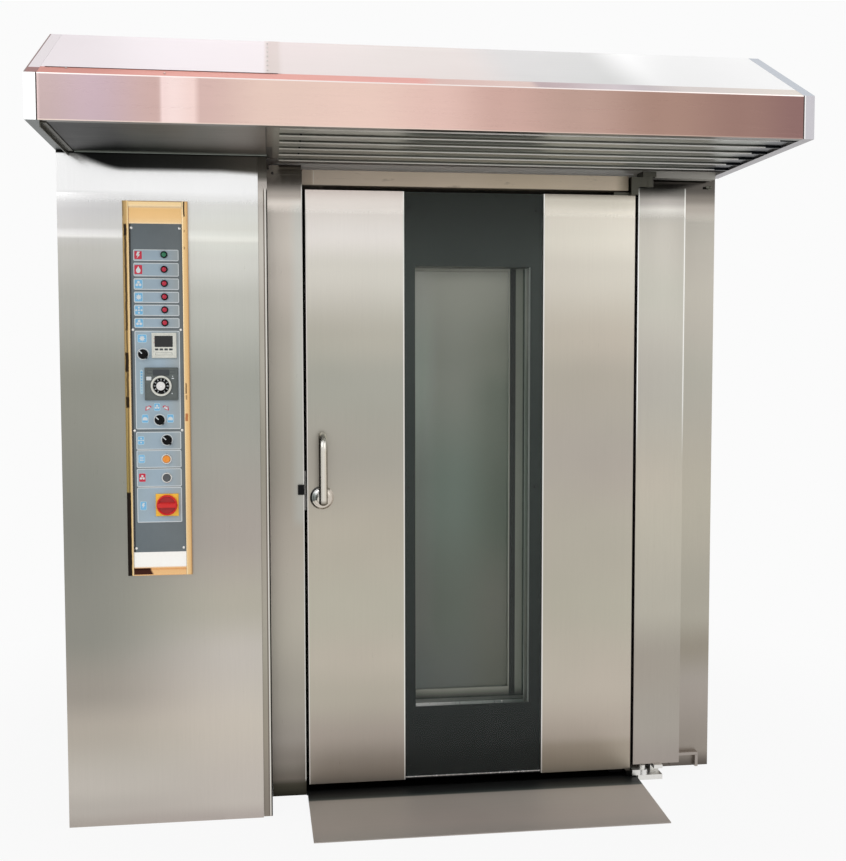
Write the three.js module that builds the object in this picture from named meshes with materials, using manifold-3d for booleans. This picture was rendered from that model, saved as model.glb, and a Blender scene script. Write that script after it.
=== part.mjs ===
// Rotating rack oven: control cabinet on the left, baking chamber with a glazed swing door, steam
// hood across the front, and a carousel for the rack trolley, driven from the roof.
//
// Lengths are in mm. While the pieces are made, x runs right from the cabinet's left side, y runs
// into the oven from the cabinet's front face, and z runs up from the floor. The finished group is
// then moved so that its origin is the middle of the footprint.
import * as THREE from "three";
import { mergeVertices } from "three/addons/utils/BufferGeometryUtils.js";
import Module from "manifold-3d";

const wasm = await Module();
wasm.setup();

// ---------------------------------------------------------------- clearances
const seat = 0.3; // between fixed pieces that touch
const running = 0.3; // round a pin, a shaft or a sliding piece
const fit = 1; // round a switch in its cut-out, and of a cut past a face

// ---------------------------------------------------------------- control cabinet
const cabinetWidth = 591;
const panelDepth = 20; // folded depth of the cabinet's sheet panels
const partitionWidth = 27.5; // insulated wall between cabinet and chamber
const partitionSetback = 8.4; // its front edge, behind the cabinet's front face

// ---------------------------------------------------------------- door
const doorWidth = 1094;
const doorBottom = 36;
const doorHeight = 1939;
const doorThickness = 110;
const doorProud = 3; // in front of the stile
const freeEdgeGap = 10;
const hingeEdgeGap = 7;
const leftLeafWidth = 318;
const rightLeafWidth = 314;
const glassThickness = 6;
const glassInset = 2;
const glassBottomStep = 10;
const glassTopStep = 3;
const windowLeft = 36; // clear window, from the glass's left, right, bottom and top edges
const windowRight = 42;
const windowBottom = 233;
const windowTop = 236;
const innerWindowLeft = 47; // inner window, smaller than the clear one
const innerWindowRight = 96;
const innerWindowBottom = 266;
const innerWindowTop = 245;
const innerLip = 13; // depth of the lip that holds the inner glass
const innerGlassOverlap = 24;
const gasketDepth = 13;
const gasketWidth = 30;
const gasketInset = 11; // from the door's side edges
const gasketFoot = 4; // above the door's bottom edge

// ---------------------------------------------------------------- chamber and its front frame
const frameSetback = 170; // stile's front face, behind the cabinet's front face
const stileWidth = 110;
const jambOverlap = 61; // of the door over the frame, at each side
const jambDepth = 60;
const lintelDrop = 45; // opening's top below the door's
const headerGap = 15; // over the door
const headerHeight = 47;
const headerEndGap = 6; // beside the hinge arm
const headerProud = 5; // header and cover stile stand this far in front of the stile
const frameTopGap = 15; // between the stile's front and the hood
const coverWidth = 163;
const coverBottom = 50;
const coverRise = 25; // cover stile's top above the door's
const stripSetback = 267; // body's front face at the right edge
const stripWidth = 142;
const postSetIn = 5; // right front post's step, behind the cover stile's left edge
const roofThickness = 148;
const rearWallThickness = 120;
const baseHeight = 15;
const supplyDuctWidth = 73.3; // between the partition and the supply air panel
const returnDuctWidth = 100; // between the return air panel and the right wall
const airPanelThickness = 4;
const airSlots = 6;
const airSlotWidth = 24;
const airSlotBottom = 220;
const airSlotTopGap = 232; // below the ceiling

// ---------------------------------------------------------------- hinges
const hingeOffset = 39; // pin centre, beyond the door's hinge edge
const pinRadius = 10;
const eyeRadius = 18;
const armHeight = 32;
const armDepth = 30;
const armTopGap = 1.5; // above the cover stile
const armWebInset = 22; // arm's upright part, from the door's hinge edge inwards
const armWebReach = 2; // and outwards
const strapLength = 75; // strap of each arm along the door's edge
const strapThickness = 10;
const strapInset = 15; // from the door's rear face
const strapLap = 8; // strap and arm
const bracketWidth = 45; // plate over the upper arm
const bracketGap = 2; // between that plate and the rail
const pivotBlockGap = 21; // lower pivot's block, beyond the door's hinge edge
const pivotBlockWidth = 86;
const pivotBlockStep = 2; // above the threshold
const footWidth = 30; // foot of the cover stile
const footPlateHeight = 12;
const footPlateDepth = 50;
const footSetback = 40; // behind the pivot block's front

// ---------------------------------------------------------------- handle and latch
const handleX = 49; // handle's centre line from the door's free edge
const rosetteX = 47;
const rosetteHeight = 986;
const rosetteRadius = 38.5;
const rosetteDepth = 10;
const rosetteBevel = 6;
const rosetteEdge = 4;
const gripRadius = 14;
const gripStandoff = 62; // tube centre in front of the door
const gripLength = 214; // from the rosette's centre to the tube's top
const gripBelow = 14; // straight tube below the rosette's centre
const gripBend = 38;
const spindleRadius = 9;
const spindleDepth = 50;
const bossRadius = 17;
const latchRise = 26; // latch's centre above the rosette's
const latchThickness = 16;
const latchTall = 24;
const latchLength = 55;
const latchProud = 4;
const latchTravel = 15;
const latchInset = 31; // latch's centre behind the door's front face
const pocketClearance = 4; // round the bolt
const pocketEndGap = 2; // past the thrown bolt's end
const strikeWidth = 20;
const strikeDepth = 12;
const strikeTall = 32;

// ---------------------------------------------------------------- hood
const hoodOverhang = 436; // in front of the cabinet's face
const hoodSide = 10; // beyond the body's right side
const fasciaHeight = 121;
const roofRun = 387; // sloping part of the hood's roof
const roofRise = 203;
const endThickness = 33;
const hoodSheet = 3;
const fasciaFlange = 53;
const fasciaReturn = 24;
const soffitOverlap = 0.5; // soffit's right edge, past the partition
const roofSeamStep = 3; // seam of the roof sheets, right of the soffit
const soffitFold = 19; // raised edge that carries the grille
const slatCount = 5;
const slatPitch = 98;
const slatDepth = 85;
const slatLip = 6;
const firstSlat = 43; // behind the hood's front
const grilleOffset = 36; // grille's left end, right of the soffit
const grilleRail = 15;
const rearBarDepth = 8;
const railDepth = 40;
const railSetback = 205;
const railDrop = 12; // below the hood's underside
const railHeight = 24;
const collarRadius = 70; // exhaust outlet, on the hood's back above the roof
const collarLength = 100;
const collarFlange = 10;

// ---------------------------------------------------------------- control panel
const trimCentre = 286; // middle of the control panel from the cabinet's left side
const trimDrop = 145; // top of the frame below the hood
const trimWidth = 192;
const trimRail = 18;
const trimDepth = 10;
const trimTopMargin = 67; // frame's top and bottom edges beyond the control plate's
const trimBottomMargin = 71;
const trayThickness = 3;
const trayLip = 16; // tray floor that carries the control plate's edge
const plateWidth = 155;
const plateThickness = 2;
const plateBottomMargin = 144; // below the main switch
const knobRadius = 14;
const knobCapRadius = 10;
const knobDepth = 18;
const knobSkirt = 5;
const knobDish = 2; // cap below the pointer bar's face
const pointerWidth = 6;
const pointerTip = 11; // pointer bar's ends from the knob's centre
const pointerTail = 18;
const pointerTilt = 45; // degrees to the left of upright, as the switches stand
const stemRadius = 4;
const stemDepth = 14;
const buttonRadius = 11;
const buttonProud = 8;
const buttonDepth = 18;
const bezelWidth = 4;
const bezelProud = 4;
const lampRadius = 9;
const lampProud = 5;
const controllerWidth = 73;
const controllerHeight = 76;
const controllerDepth = 80;
const timerSize = 98;
const timerDepth = 70;
const timerDialRadius = 31;
const timerDialThickness = 4;
const timerDialDrop = 6; // dial centre below the middle of the timer's face
const bezelStep = 4; // face of a built-in instrument beyond its case
const faceDepth = 7;
const switchPlateSize = 68;
const switchPlateThickness = 3;
const switchKnobRadius = 31;
const switchKnobDepth = 20;
const switchGripWidth = 14;
const switchGripLength = 56;

// Places of the controls: right of the panel's middle, and below the control plate's top
const lampOffset = 24;
const lampDrops = [92, 136, 178, 218, 257, 296];
const controllerPlace = [21, 364];
const timerPlace = [11, 480];
const selectorPlaces = { upper: [-42, 390], middle: [4, 589], lower: [25, 650] };
const startPlace = [23, 708];
const stopPlace = [23, 765];
const mainSwitchPlace = [23, 848];

// ---------------------------------------------------------------- ramp
const rampLength = 380;
const rampFrontThickness = 3;
const rampBackThickness = 14;
const rampFlareLeft = 6;
const rampFlareRight = 10;

// ---------------------------------------------------------------- carousel and its drive
const platformWallGap = 60;
const platformThickness = 8;
const platformClearance = 2;
const uprightInset = 10; // from the turntable's edge
const uprightWidth = 40;
const uprightDepth = 80;
const beamTopGap = 62; // below the ceiling
const beamHeight = 60;
const shaftRadius = 25;
const shaftHoleClearance = 5;
const flangeRadius = 130;
const flangeHeight = 60;
const gearboxSize = 220;
const gearboxHeight = 150;
const motorRadius = 80;
const motorHeight = 160;
const shaftEngagement = 130; // of the shaft in the gearbox

// ---------------------------------------------------------------- hot-air side, in the cabinet
const fanSetback = 720;
const fanRadius = 210;
const fanHeight = 130;
const fanTopGap = 60; // backplate below the ceiling
const fanBackplate = 6;
const fanHubRadius = 30;
const fanBlades = 12;
const fanBladeLength = 95;
const fanBladeThickness = 5;
const fanBladeInset = 3; // from the backplate's edge
const fanShaftRadius = 15;
const fanShaftEngagement = 80; // of the shaft in the motor
const fanMotorRadius = 95;
const fanMotorHeight = 260;
const fanFoot = 260;
const fanFootThickness = 15;
const drumHeight = 640;
const drumRadius = 200;
const drumFront = 480;
const drumRearGap = 150; // before the rear wall
const bankWidth = 360;
const bankBottom = 900;
const bankTopGap = 257; // below the fan
const bankInset = 40; // from each end of the drum
const bankGrooves = 9;
const bankGroove = 24;
const bankGrooveDepth = 90;
const neckWidth = 200;
const neckLength = 410;
const flueRadius = 90;
const flueWall = 4;
const flueInset = 180; // centre in front of the drum's rear end
const flueRise = 400; // above the roof
const flueBore = 300;
const legWidth = 40;
const legSpan = 280;
const legInset = 80; // from each end of the drum
const burnerSize = 210;
const burnerLength = 260;
const blastTubeRadius = 55;
const blastTubeLength = 90;
const blowerRadius = 95;
const steamerGap = 8.5; // on each side, in the supply duct
const steamerLength = 680;
const steamerBars = 9;
const steamerBarHeight = 60;
const steamerPitch = 150;
const steamerRib = 28;

// ---------------------------------------------------------------- places that follow from the sizes
const partitionRight = cabinetWidth + partitionWidth;
const soffitRight = partitionRight + soffitOverlap;
const roofSeam = soffitRight + roofSeamStep;
const grilleLeft = soffitRight + grilleOffset;
const stileLeft = partitionRight + seat;
const stileRight = stileLeft + stileWidth;
const doorLeft = stileRight + freeEdgeGap;
const doorRight = doorLeft + doorWidth;
const coverLeft = doorRight + hingeEdgeGap;
const coverRight = coverLeft + coverWidth;
const bodyRight = coverRight + stripWidth;
const hoodRight = bodyRight + hoodSide;
const openingLeft = doorLeft + jambOverlap;
const openingRight = doorRight - jambOverlap;
const chamberX = (doorLeft + doorRight) / 2;
const chamberLeft = partitionRight + supplyDuctWidth + airPanelThickness;
const chamberWidth = 2 * (chamberX - chamberLeft);
const chamberRight = chamberLeft + chamberWidth;
const hingeX = doorRight + hingeOffset;

const doorFront = frameSetback - doorProud;
const doorBack = doorFront + doorThickness;
const jambFace = doorBack + gasketDepth;
const chamberFront = jambFace + jambDepth;
const chamberBack = chamberFront + chamberWidth;
const chamberY = (chamberFront + chamberBack) / 2;
const bodyBack = chamberBack + rearWallThickness;
const coverFront = frameSetback - headerProud;
const hingeY = coverFront;
const hoodBack = stripSetback - seat;

const doorTop = doorBottom + doorHeight;
const openingTop = doorTop - lintelDrop;
const coverTop = doorTop + coverRise;
const headerBottom = doorTop + headerGap;
const stileTop = headerBottom + headerHeight;
const ceilingHeight = stileTop + frameTopGap; // underside of the roof and of the hood
const wallTop = ceilingHeight - seat;
const roofTop = ceilingHeight + roofThickness;
const fasciaTop = ceilingHeight + fasciaHeight;
const hoodTop = fasciaTop + roofRise;
const railBottom = ceilingHeight - railDrop;
const latchHeight = rosetteHeight + latchRise;

const capInnerLeft = endThickness + seat;
const capInnerRight = hoodRight - endThickness - seat;
const trimTop = ceilingHeight - trimDrop;
const plateTop = trimTop - trimTopMargin;
const plateHeight = mainSwitchPlace[1] + plateBottomMargin;
const plateMiddle = plateTop - plateHeight / 2;
const trimHeight = trimTopMargin + plateHeight + trimBottomMargin;
const plantX = (panelDepth + cabinetWidth) / 2; // middle of the cabinet's inside
const drumRear = chamberBack - drumRearGap;
const flueY = drumRear - flueInset;

// ---------------------------------------------------------------- solids
function solid(geometry) {
  const bare = new THREE.BufferGeometry();
  bare.setAttribute("position", geometry.getAttribute("position"));
  if (geometry.index) bare.setIndex(geometry.index);
  const merged = mergeVertices(bare, 1e-4);
  const corners = merged.index.array;
  const triangles = [];
  for (let i = 0; i < corners.length; i += 3) {
    const [a, b, c] = [corners[i], corners[i + 1], corners[i + 2]];
    if (a !== b && b !== c && c !== a) triangles.push(a, b, c);
  }
  const mesh = new wasm.Mesh({
    numProp: 3,
    vertProperties: new Float32Array(merged.attributes.position.array),
    triVerts: new Uint32Array(triangles),
  });
  return new wasm.Manifold(mesh);
}

const join = (first, ...rest) => rest.reduce((whole, piece) => whole.add(piece), first);
const cut = (first, ...rest) => rest.reduce((whole, piece) => whole.subtract(piece), first);

function box(x0, x1, y0, y1, z0, z1) {
  const block = new THREE.BoxGeometry(x1 - x0, y1 - y0, z1 - z0);
  return solid(block.translate((x0 + x1) / 2, (y0 + y1) / 2, (z0 + z1) / 2));
}

// A plate centred on (x, z), from y0 to y1
const plateY = (x, z, width, height, y0, y1) =>
  box(x - width / 2, x + width / 2, y0, y1, z - height / 2, z + height / 2);

// A plate centred on (x, y), from z0 to z1
const plateZ = (x, y, width, depth, z0, z1) =>
  box(x - width / 2, x + width / 2, y - depth / 2, y + depth / 2, z0, z1);

function extrude(outline, depth) {
  const shape = new THREE.Shape(outline.map(([u, v]) => new THREE.Vector2(u, v)));
  return new THREE.ExtrudeGeometry(shape, { depth, bevelEnabled: false });
}

// An outline of [y, z] points, pushed from x0 to x1
function prismX(outline, x0, x1) {
  const turn = new THREE.Matrix4().set(0, 0, 1, x0, 1, 0, 0, 0, 0, 1, 0, 0, 0, 0, 0, 1);
  return solid(extrude(outline, x1 - x0).applyMatrix4(turn));
}

// An outline of [x, y] points, pushed from z0 to z1
const prismZ = (outline, z0, z1) => solid(extrude(outline, z1 - z0).translate(0, 0, z0));

const rodZ = (radius, x, y, z0, z1, sides = 32) =>
  solid(
    new THREE.CylinderGeometry(radius, radius, z1 - z0, sides)
      .rotateX(Math.PI / 2)
      .translate(x, y, (z0 + z1) / 2),
  );

const rodY = (radius, x, z, y0, y1, sides = 32) =>
  solid(new THREE.CylinderGeometry(radius, radius, y1 - y0, sides).translate(x, (y0 + y1) / 2, z));

const rodX = (radius, y, z, x0, x1, sides = 32) =>
  solid(
    new THREE.CylinderGeometry(radius, radius, x1 - x0, sides)
      .rotateZ(Math.PI / 2)
      .translate((x0 + x1) / 2, y, z),
  );

// A turned piece about an axis along y through (x, z); profile points are [radius, y], from front to back
function turnedY(profile, x, z, sides = 32) {
  const points = profile.map(([radius, y]) => new THREE.Vector2(radius, y));
  return solid(new THREE.LatheGeometry(points, sides).translate(x, 0, z));
}

// ---------------------------------------------------------------- materials
const finish = (color, roughness, metalness) => () =>
  new THREE.MeshStandardMaterial({ color, roughness, metalness });

const brushedSteel = finish(0xb9b5ab, 0.36, 1);
const darkSteel = finish(0x6d6c68, 0.5, 1);
const roseSteel = finish(0xc79a90, 0.3, 1);
const paleSteel = finish(0xd9d4d2, 0.4, 1);
const brass = finish(0xd8a852, 0.15, 1);
const blackGlass = finish(0x232b2d, 0.08, 0);
const clearGlass = finish(0x8c958f, 0.08, 0);
const slatePaint = finish(0x4f585d, 0.6, 0.2);
const blackPlastic = finish(0x17181a, 0.4, 0);
const whitePlastic = finish(0xe4e3dd, 0.45, 0);
const orangePlastic = finish(0xe89a2e, 0.3, 0);
const redPlastic = finish(0xd8201a, 0.35, 0);
const yellowPlastic = finish(0xe8c21c, 0.5, 0);
const rubber = finish(0x2a2a2a, 0.8, 0);
const machinePaint = finish(0x3b5a7a, 0.5, 0.1);
const castIron = finish(0x4a4745, 0.7, 0.6);
const rampSteel = finish(0x7b7672, 0.6, 0.8);

const oven = new THREE.Group();

function add(name, material, shape) {
  const raw = shape.getMesh();
  const geometry = new THREE.BufferGeometry();
  const positions = new Float32Array(raw.numVert * 3);
  for (let i = 0; i < raw.numVert; i++) {
    const start = i * raw.numProp;
    positions.set(raw.vertProperties.subarray(start, start + 3), i * 3);
  }
  geometry.setAttribute("position", new THREE.BufferAttribute(positions, 3));
  geometry.setIndex(new THREE.BufferAttribute(new Uint32Array(raw.triVerts), 1));
  geometry.computeVertexNormals();
  const mesh = new THREE.Mesh(geometry, material());
  mesh.name = name;
  oven.add(mesh);
}

// ---------------------------------------------------------------- cabinet
function makeCabinet() {
  const back = chamberBack - seat;
  const cutoutWidth = plateWidth - 2 * trayLip + 2 * fit;
  const cutoutHeight = plateHeight - 2 * trayLip + 2 * fit;
  add(
    "cabinet_front_panel",
    brushedSteel,
    cut(
      box(0, cabinetWidth, 0, panelDepth, 0, wallTop),
      plateY(trimCentre, plateMiddle, cutoutWidth, cutoutHeight, -fit, panelDepth + fit),
    ),
  );
  add("cabinet_left_panel", brushedSteel, box(0, panelDepth, panelDepth + seat, back, 0, wallTop));
  add(
    "cabinet_floor",
    darkSteel,
    box(panelDepth + seat, cabinetWidth - seat, panelDepth + seat, back, 0, baseHeight),
  );
  add(
    "cabinet_partition",
    brushedSteel,
    box(cabinetWidth + seat, partitionRight, partitionSetback, back, 0, wallTop),
  );
}

// ---------------------------------------------------------------- chamber shell
function makeChamber() {
  const stile = prismZ(
    [
      [stileLeft, frameSetback],
      [stileRight, frameSetback],
      [stileRight, jambFace],
      [openingLeft, jambFace],
      [openingLeft, chamberFront],
      [stileLeft, chamberFront],
    ],
    0,
    stileTop,
  );
  const stileCap = box(stileLeft, openingLeft, jambFace, chamberFront, stileTop - fit, wallTop);
  const latchY = doorFront + latchInset;
  const pocket = box(
    stileRight - latchTravel - pocketEndGap,
    stileRight + fit,
    latchY - latchThickness / 2 - pocketClearance,
    latchY + latchThickness / 2 + pocketClearance,
    latchHeight - latchTall / 2 - pocketClearance,
    latchHeight + latchTall / 2 + pocketClearance,
  );
  add("left_stile", brushedSteel, cut(join(stile, stileCap), pocket));
  const strikeX = stileRight - strikeWidth / 2;
  const strikeY = [frameSetback - strikeDepth, frameSetback - seat];
  add("strike_block", blackPlastic, plateY(strikeX, latchHeight, strikeWidth, strikeTall, ...strikeY));

  const post = prismZ(
    [
      [openingRight, jambFace],
      [coverLeft + postSetIn, jambFace],
      [coverLeft + postSetIn, stripSetback],
      [bodyRight, stripSetback],
      [bodyRight, chamberFront],
      [openingRight, chamberFront],
    ],
    0,
    wallTop,
  );
  add("right_front_post", brushedSteel, post);
  add(
    "cover_stile",
    brushedSteel,
    box(coverLeft, coverRight, coverFront, stripSetback - seat, coverBottom, coverTop),
  );

  const headerRight = doorRight - armWebInset - headerEndGap;
  const header = box(
    stileRight + seat,
    headerRight,
    coverFront,
    jambFace - seat,
    headerBottom,
    stileTop,
  );
  const betweenJambs = [openingLeft + seat, openingRight - seat];
  const lintel = box(...betweenJambs, jambFace, chamberFront, openingTop, wallTop);
  const web = box(...betweenJambs, jambFace - fit, jambFace + fit, headerBottom, stileTop);
  add("door_header", brushedSteel, join(header, web, lintel));

  const sideY = [chamberFront + seat, chamberBack - seat];
  const sideZ = [baseHeight + seat, wallTop];
  const rightWallInner = chamberRight + airPanelThickness + returnDuctWidth;
  add("right_wall", brushedSteel, box(rightWallInner, bodyRight, ...sideY, ...sideZ));
  add("rear_wall", brushedSteel, box(0, bodyRight, chamberBack, bodyBack, 0, wallTop));
  add("supply_air_panel", brushedSteel, airPanel(chamberLeft - airPanelThickness));
  add("return_air_panel", brushedSteel, airPanel(chamberRight));

  const slab = box(0, bodyRight, stripSetback, bodyBack, ceilingHeight, roofTop);
  const throughRoof = [ceilingHeight - fit, roofTop + fit];
  add(
    "roof_slab",
    brushedSteel,
    cut(
      slab,
      rodZ(shaftRadius + shaftHoleClearance, chamberX, chamberY, ...throughRoof),
      rodZ(fanShaftRadius + shaftHoleClearance, plantX, fanSetback, ...throughRoof),
      rodZ(flueRadius + seat, plantX, flueY, ...throughRoof),
    ),
  );
}

// Slotted inner wall of the chamber, with a duct behind it
function airPanel(left) {
  const right = left + airPanelThickness;
  const [front, back] = [chamberFront + seat, chamberBack - seat];
  const pitch = chamberWidth / airSlots;
  const slotZ = [airSlotBottom, ceilingHeight - airSlotTopGap];
  let panel = box(left, right, front, back, baseHeight + seat, wallTop);
  for (let i = 0; i < airSlots; i++) {
    const y = chamberFront + pitch * (i + 0.5);
    const slotY = [y - airSlotWidth / 2, y + airSlotWidth / 2];
    panel = cut(panel, box(left - fit, right + fit, ...slotY, ...slotZ));
  }
  return panel;
}

// Floor of the chamber, threshold under the door, and the door's lower pivot
function makeBase() {
  const blockLeft = doorRight + pivotBlockGap;
  const blockRight = blockLeft + pivotBlockWidth;
  const blockFront = hingeY - armDepth / 2;
  const frontY = coverFront + seat;
  const stripY = stripSetback - seat;
  const postX = coverLeft + postSetIn - seat;
  const footLeft = blockRight - footWidth;
  const footTop = coverBottom - seat;
  const footPlate = [blockFront, blockFront + footPlateDepth];
  const base = join(
    box(stileLeft, bodyRight, chamberFront + seat, chamberBack - seat, 0, baseHeight),
    box(openingLeft + seat, openingRight - seat, jambFace - fit, chamberFront + fit, 0, baseHeight),
    box(stileRight + seat, postX, frontY, jambFace - seat, 0, baseHeight),
    box(coverLeft, blockLeft + fit, frontY, stripY, 0, baseHeight),
    box(blockLeft, blockRight, blockFront, stripY, 0, baseHeight + pivotBlockStep),
    rodZ(pinRadius, hingeX, hingeY, baseHeight, coverBottom - armTopGap),
    box(footLeft, blockRight, blockFront + footSetback, stripY, baseHeight, footTop),
    box(footLeft, blockRight, ...footPlate, footTop - footPlateHeight, footTop),
  );
  add("oven_base", darkSteel, base);

  const front = coverFront - rampLength;
  const left = doorLeft;
  const right = doorRight + hingeEdgeGap;
  const plan = [
    [left, front],
    [right, front],
    [right + rampFlareRight, coverFront],
    [left - rampFlareLeft, coverFront],
  ];
  const slope = prismX(
    [
      [front - fit, 0],
      [coverFront + fit, 0],
      [coverFront + fit, rampBackThickness],
      [front - fit, rampFrontThickness],
    ],
    left - 2 * rampFlareLeft,
    right + 2 * rampFlareRight,
  );
  add("threshold_ramp", rampSteel, prismZ(plan, 0, rampBackThickness + fit).intersect(slope));
}

// ---------------------------------------------------------------- hood
const slopeAt = (y) => fasciaTop + (roofRise / roofRun) * (y + hoodOverhang);

function makeHood() {
  const front = -hoodOverhang;
  const bend = front + roofRun;
  const endOutline = [
    [front, ceilingHeight],
    [front, fasciaTop],
    [bend, hoodTop],
    [hoodBack, hoodTop],
    [hoodBack, ceilingHeight],
  ];
  add("hood_left_end", paleSteel, prismX(endOutline, 0, endThickness));
  add("hood_right_end", paleSteel, prismX(endOutline, hoodRight - endThickness, hoodRight));

  // Sheet thickness measured straight down through a sloping sheet
  const drop = hoodSheet * Math.hypot(1, roofRise / roofRun);
  const flangeEnd = front + fasciaFlange;
  add(
    "hood_fascia",
    roseSteel,
    prismX(
      [
        [front, ceilingHeight],
        [front, fasciaTop],
        [flangeEnd, slopeAt(flangeEnd)],
        [flangeEnd, slopeAt(flangeEnd) - drop],
        [front + hoodSheet, slopeAt(front + hoodSheet) - drop],
        [front + hoodSheet, ceilingHeight + hoodSheet],
        [front + fasciaReturn, ceilingHeight + hoodSheet],
        [front + fasciaReturn, ceilingHeight],
      ],
      capInnerLeft,
      capInnerRight,
    ),
  );

  const sheetStart = flangeEnd + seat;
  const innerBend = bend + (drop - hoodSheet) * (roofRun / roofRise);
  const sheet = [
    [sheetStart, slopeAt(sheetStart)],
    [bend, hoodTop],
    [hoodBack, hoodTop],
    [hoodBack, hoodTop - hoodSheet],
    [innerBend, hoodTop - hoodSheet],
    [sheetStart, slopeAt(sheetStart) - drop],
  ];
  add("hood_roof_left", paleSteel, prismX(sheet, capInnerLeft, roofSeam));
  add("hood_roof_right", paleSteel, prismX(sheet, roofSeam + seat, capInnerRight));

  const railTop = railBottom + railHeight;
  const notch = plateZ(
    hingeX,
    railSetback + railDepth / 2,
    bracketWidth + 2 * bracketGap,
    railDepth + 2 * fit,
    railBottom - fit,
    ceilingHeight + seat,
  );
  const collarZ = (roofTop + hoodTop) / 2;
  const boreRadius = collarRadius - hoodSheet;
  const boreY = [hoodBack - 2 * hoodSheet, hoodBack + fit];
  const backPlate = cut(
    box(
      capInnerLeft,
      capInnerRight,
      hoodBack - hoodSheet,
      hoodBack,
      railTop - hoodSheet,
      hoodTop - hoodSheet - seat,
    ),
    rodY(boreRadius, chamberX, collarZ, ...boreY),
  );
  const railX = [grilleLeft - grilleRail, capInnerRight];
  const railBack = railSetback + railDepth;
  const rail = cut(box(...railX, railSetback, railBack, railBottom, railTop), notch);
  const shelf = box(...railX, railBack - fit, hoodBack - fit, railTop - hoodSheet, railTop);
  add("hood_back_plate", paleSteel, join(backPlate, shelf, rail));

  const foldTop = ceilingHeight + slatLip + hoodSheet - 2 * seat;
  add(
    "hood_soffit",
    darkSteel,
    join(
      box(
        capInnerLeft,
        soffitRight,
        front + fasciaReturn + seat,
        hoodBack - hoodSheet - seat,
        ceilingHeight,
        ceilingHeight + hoodSheet,
      ),
      box(
        soffitRight - soffitFold,
        soffitRight,
        front + firstSlat,
        railSetback,
        ceilingHeight + hoodSheet - seat,
        foldTop,
      ),
    ),
  );
  add("baffle_grille", brushedSteel, makeGrille(front + firstSlat));

  const collarStart = hoodBack + seat;
  const collarEnd = collarStart + collarLength;
  const collar = cut(
    join(
      rodY(collarRadius, chamberX, collarZ, collarStart, collarEnd),
      rodY(collarRadius + collarFlange, chamberX, collarZ, collarStart, collarStart + hoodSheet),
    ),
    rodY(boreRadius, chamberX, collarZ, collarStart - fit, collarEnd + fit),
  );
  add("exhaust_collar", paleSteel, collar);
}

// Baffle slats with hanging front lips, hung under a rail at each end, with a bar at the back
function makeGrille(front) {
  const under = ceilingHeight + slatLip;
  const top = under + hoodSheet;
  const back = front + slatCount * slatPitch;
  const railZ = [top - seat, top + hoodSheet];
  const pieces = [
    box(soffitRight - soffitFold, grilleLeft + grilleRail, front, back + rearBarDepth, ...railZ),
    box(capInnerRight - grilleRail, capInnerRight, front, back + rearBarDepth, ...railZ),
    box(grilleLeft + seat, capInnerRight - seat, back, back + rearBarDepth, ceilingHeight, top),
  ];
  for (let i = 0; i < slatCount; i++) {
    const y = front + i * slatPitch;
    const slat = [
      [y, ceilingHeight],
      [y, top],
      [y + slatDepth, top],
      [y + slatDepth, under],
      [y + hoodSheet, under],
      [y + hoodSheet, ceilingHeight],
    ];
    pieces.push(prismX(slat, grilleLeft + seat, capInnerRight - seat));
  }
  return join(...pieces);
}

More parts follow.
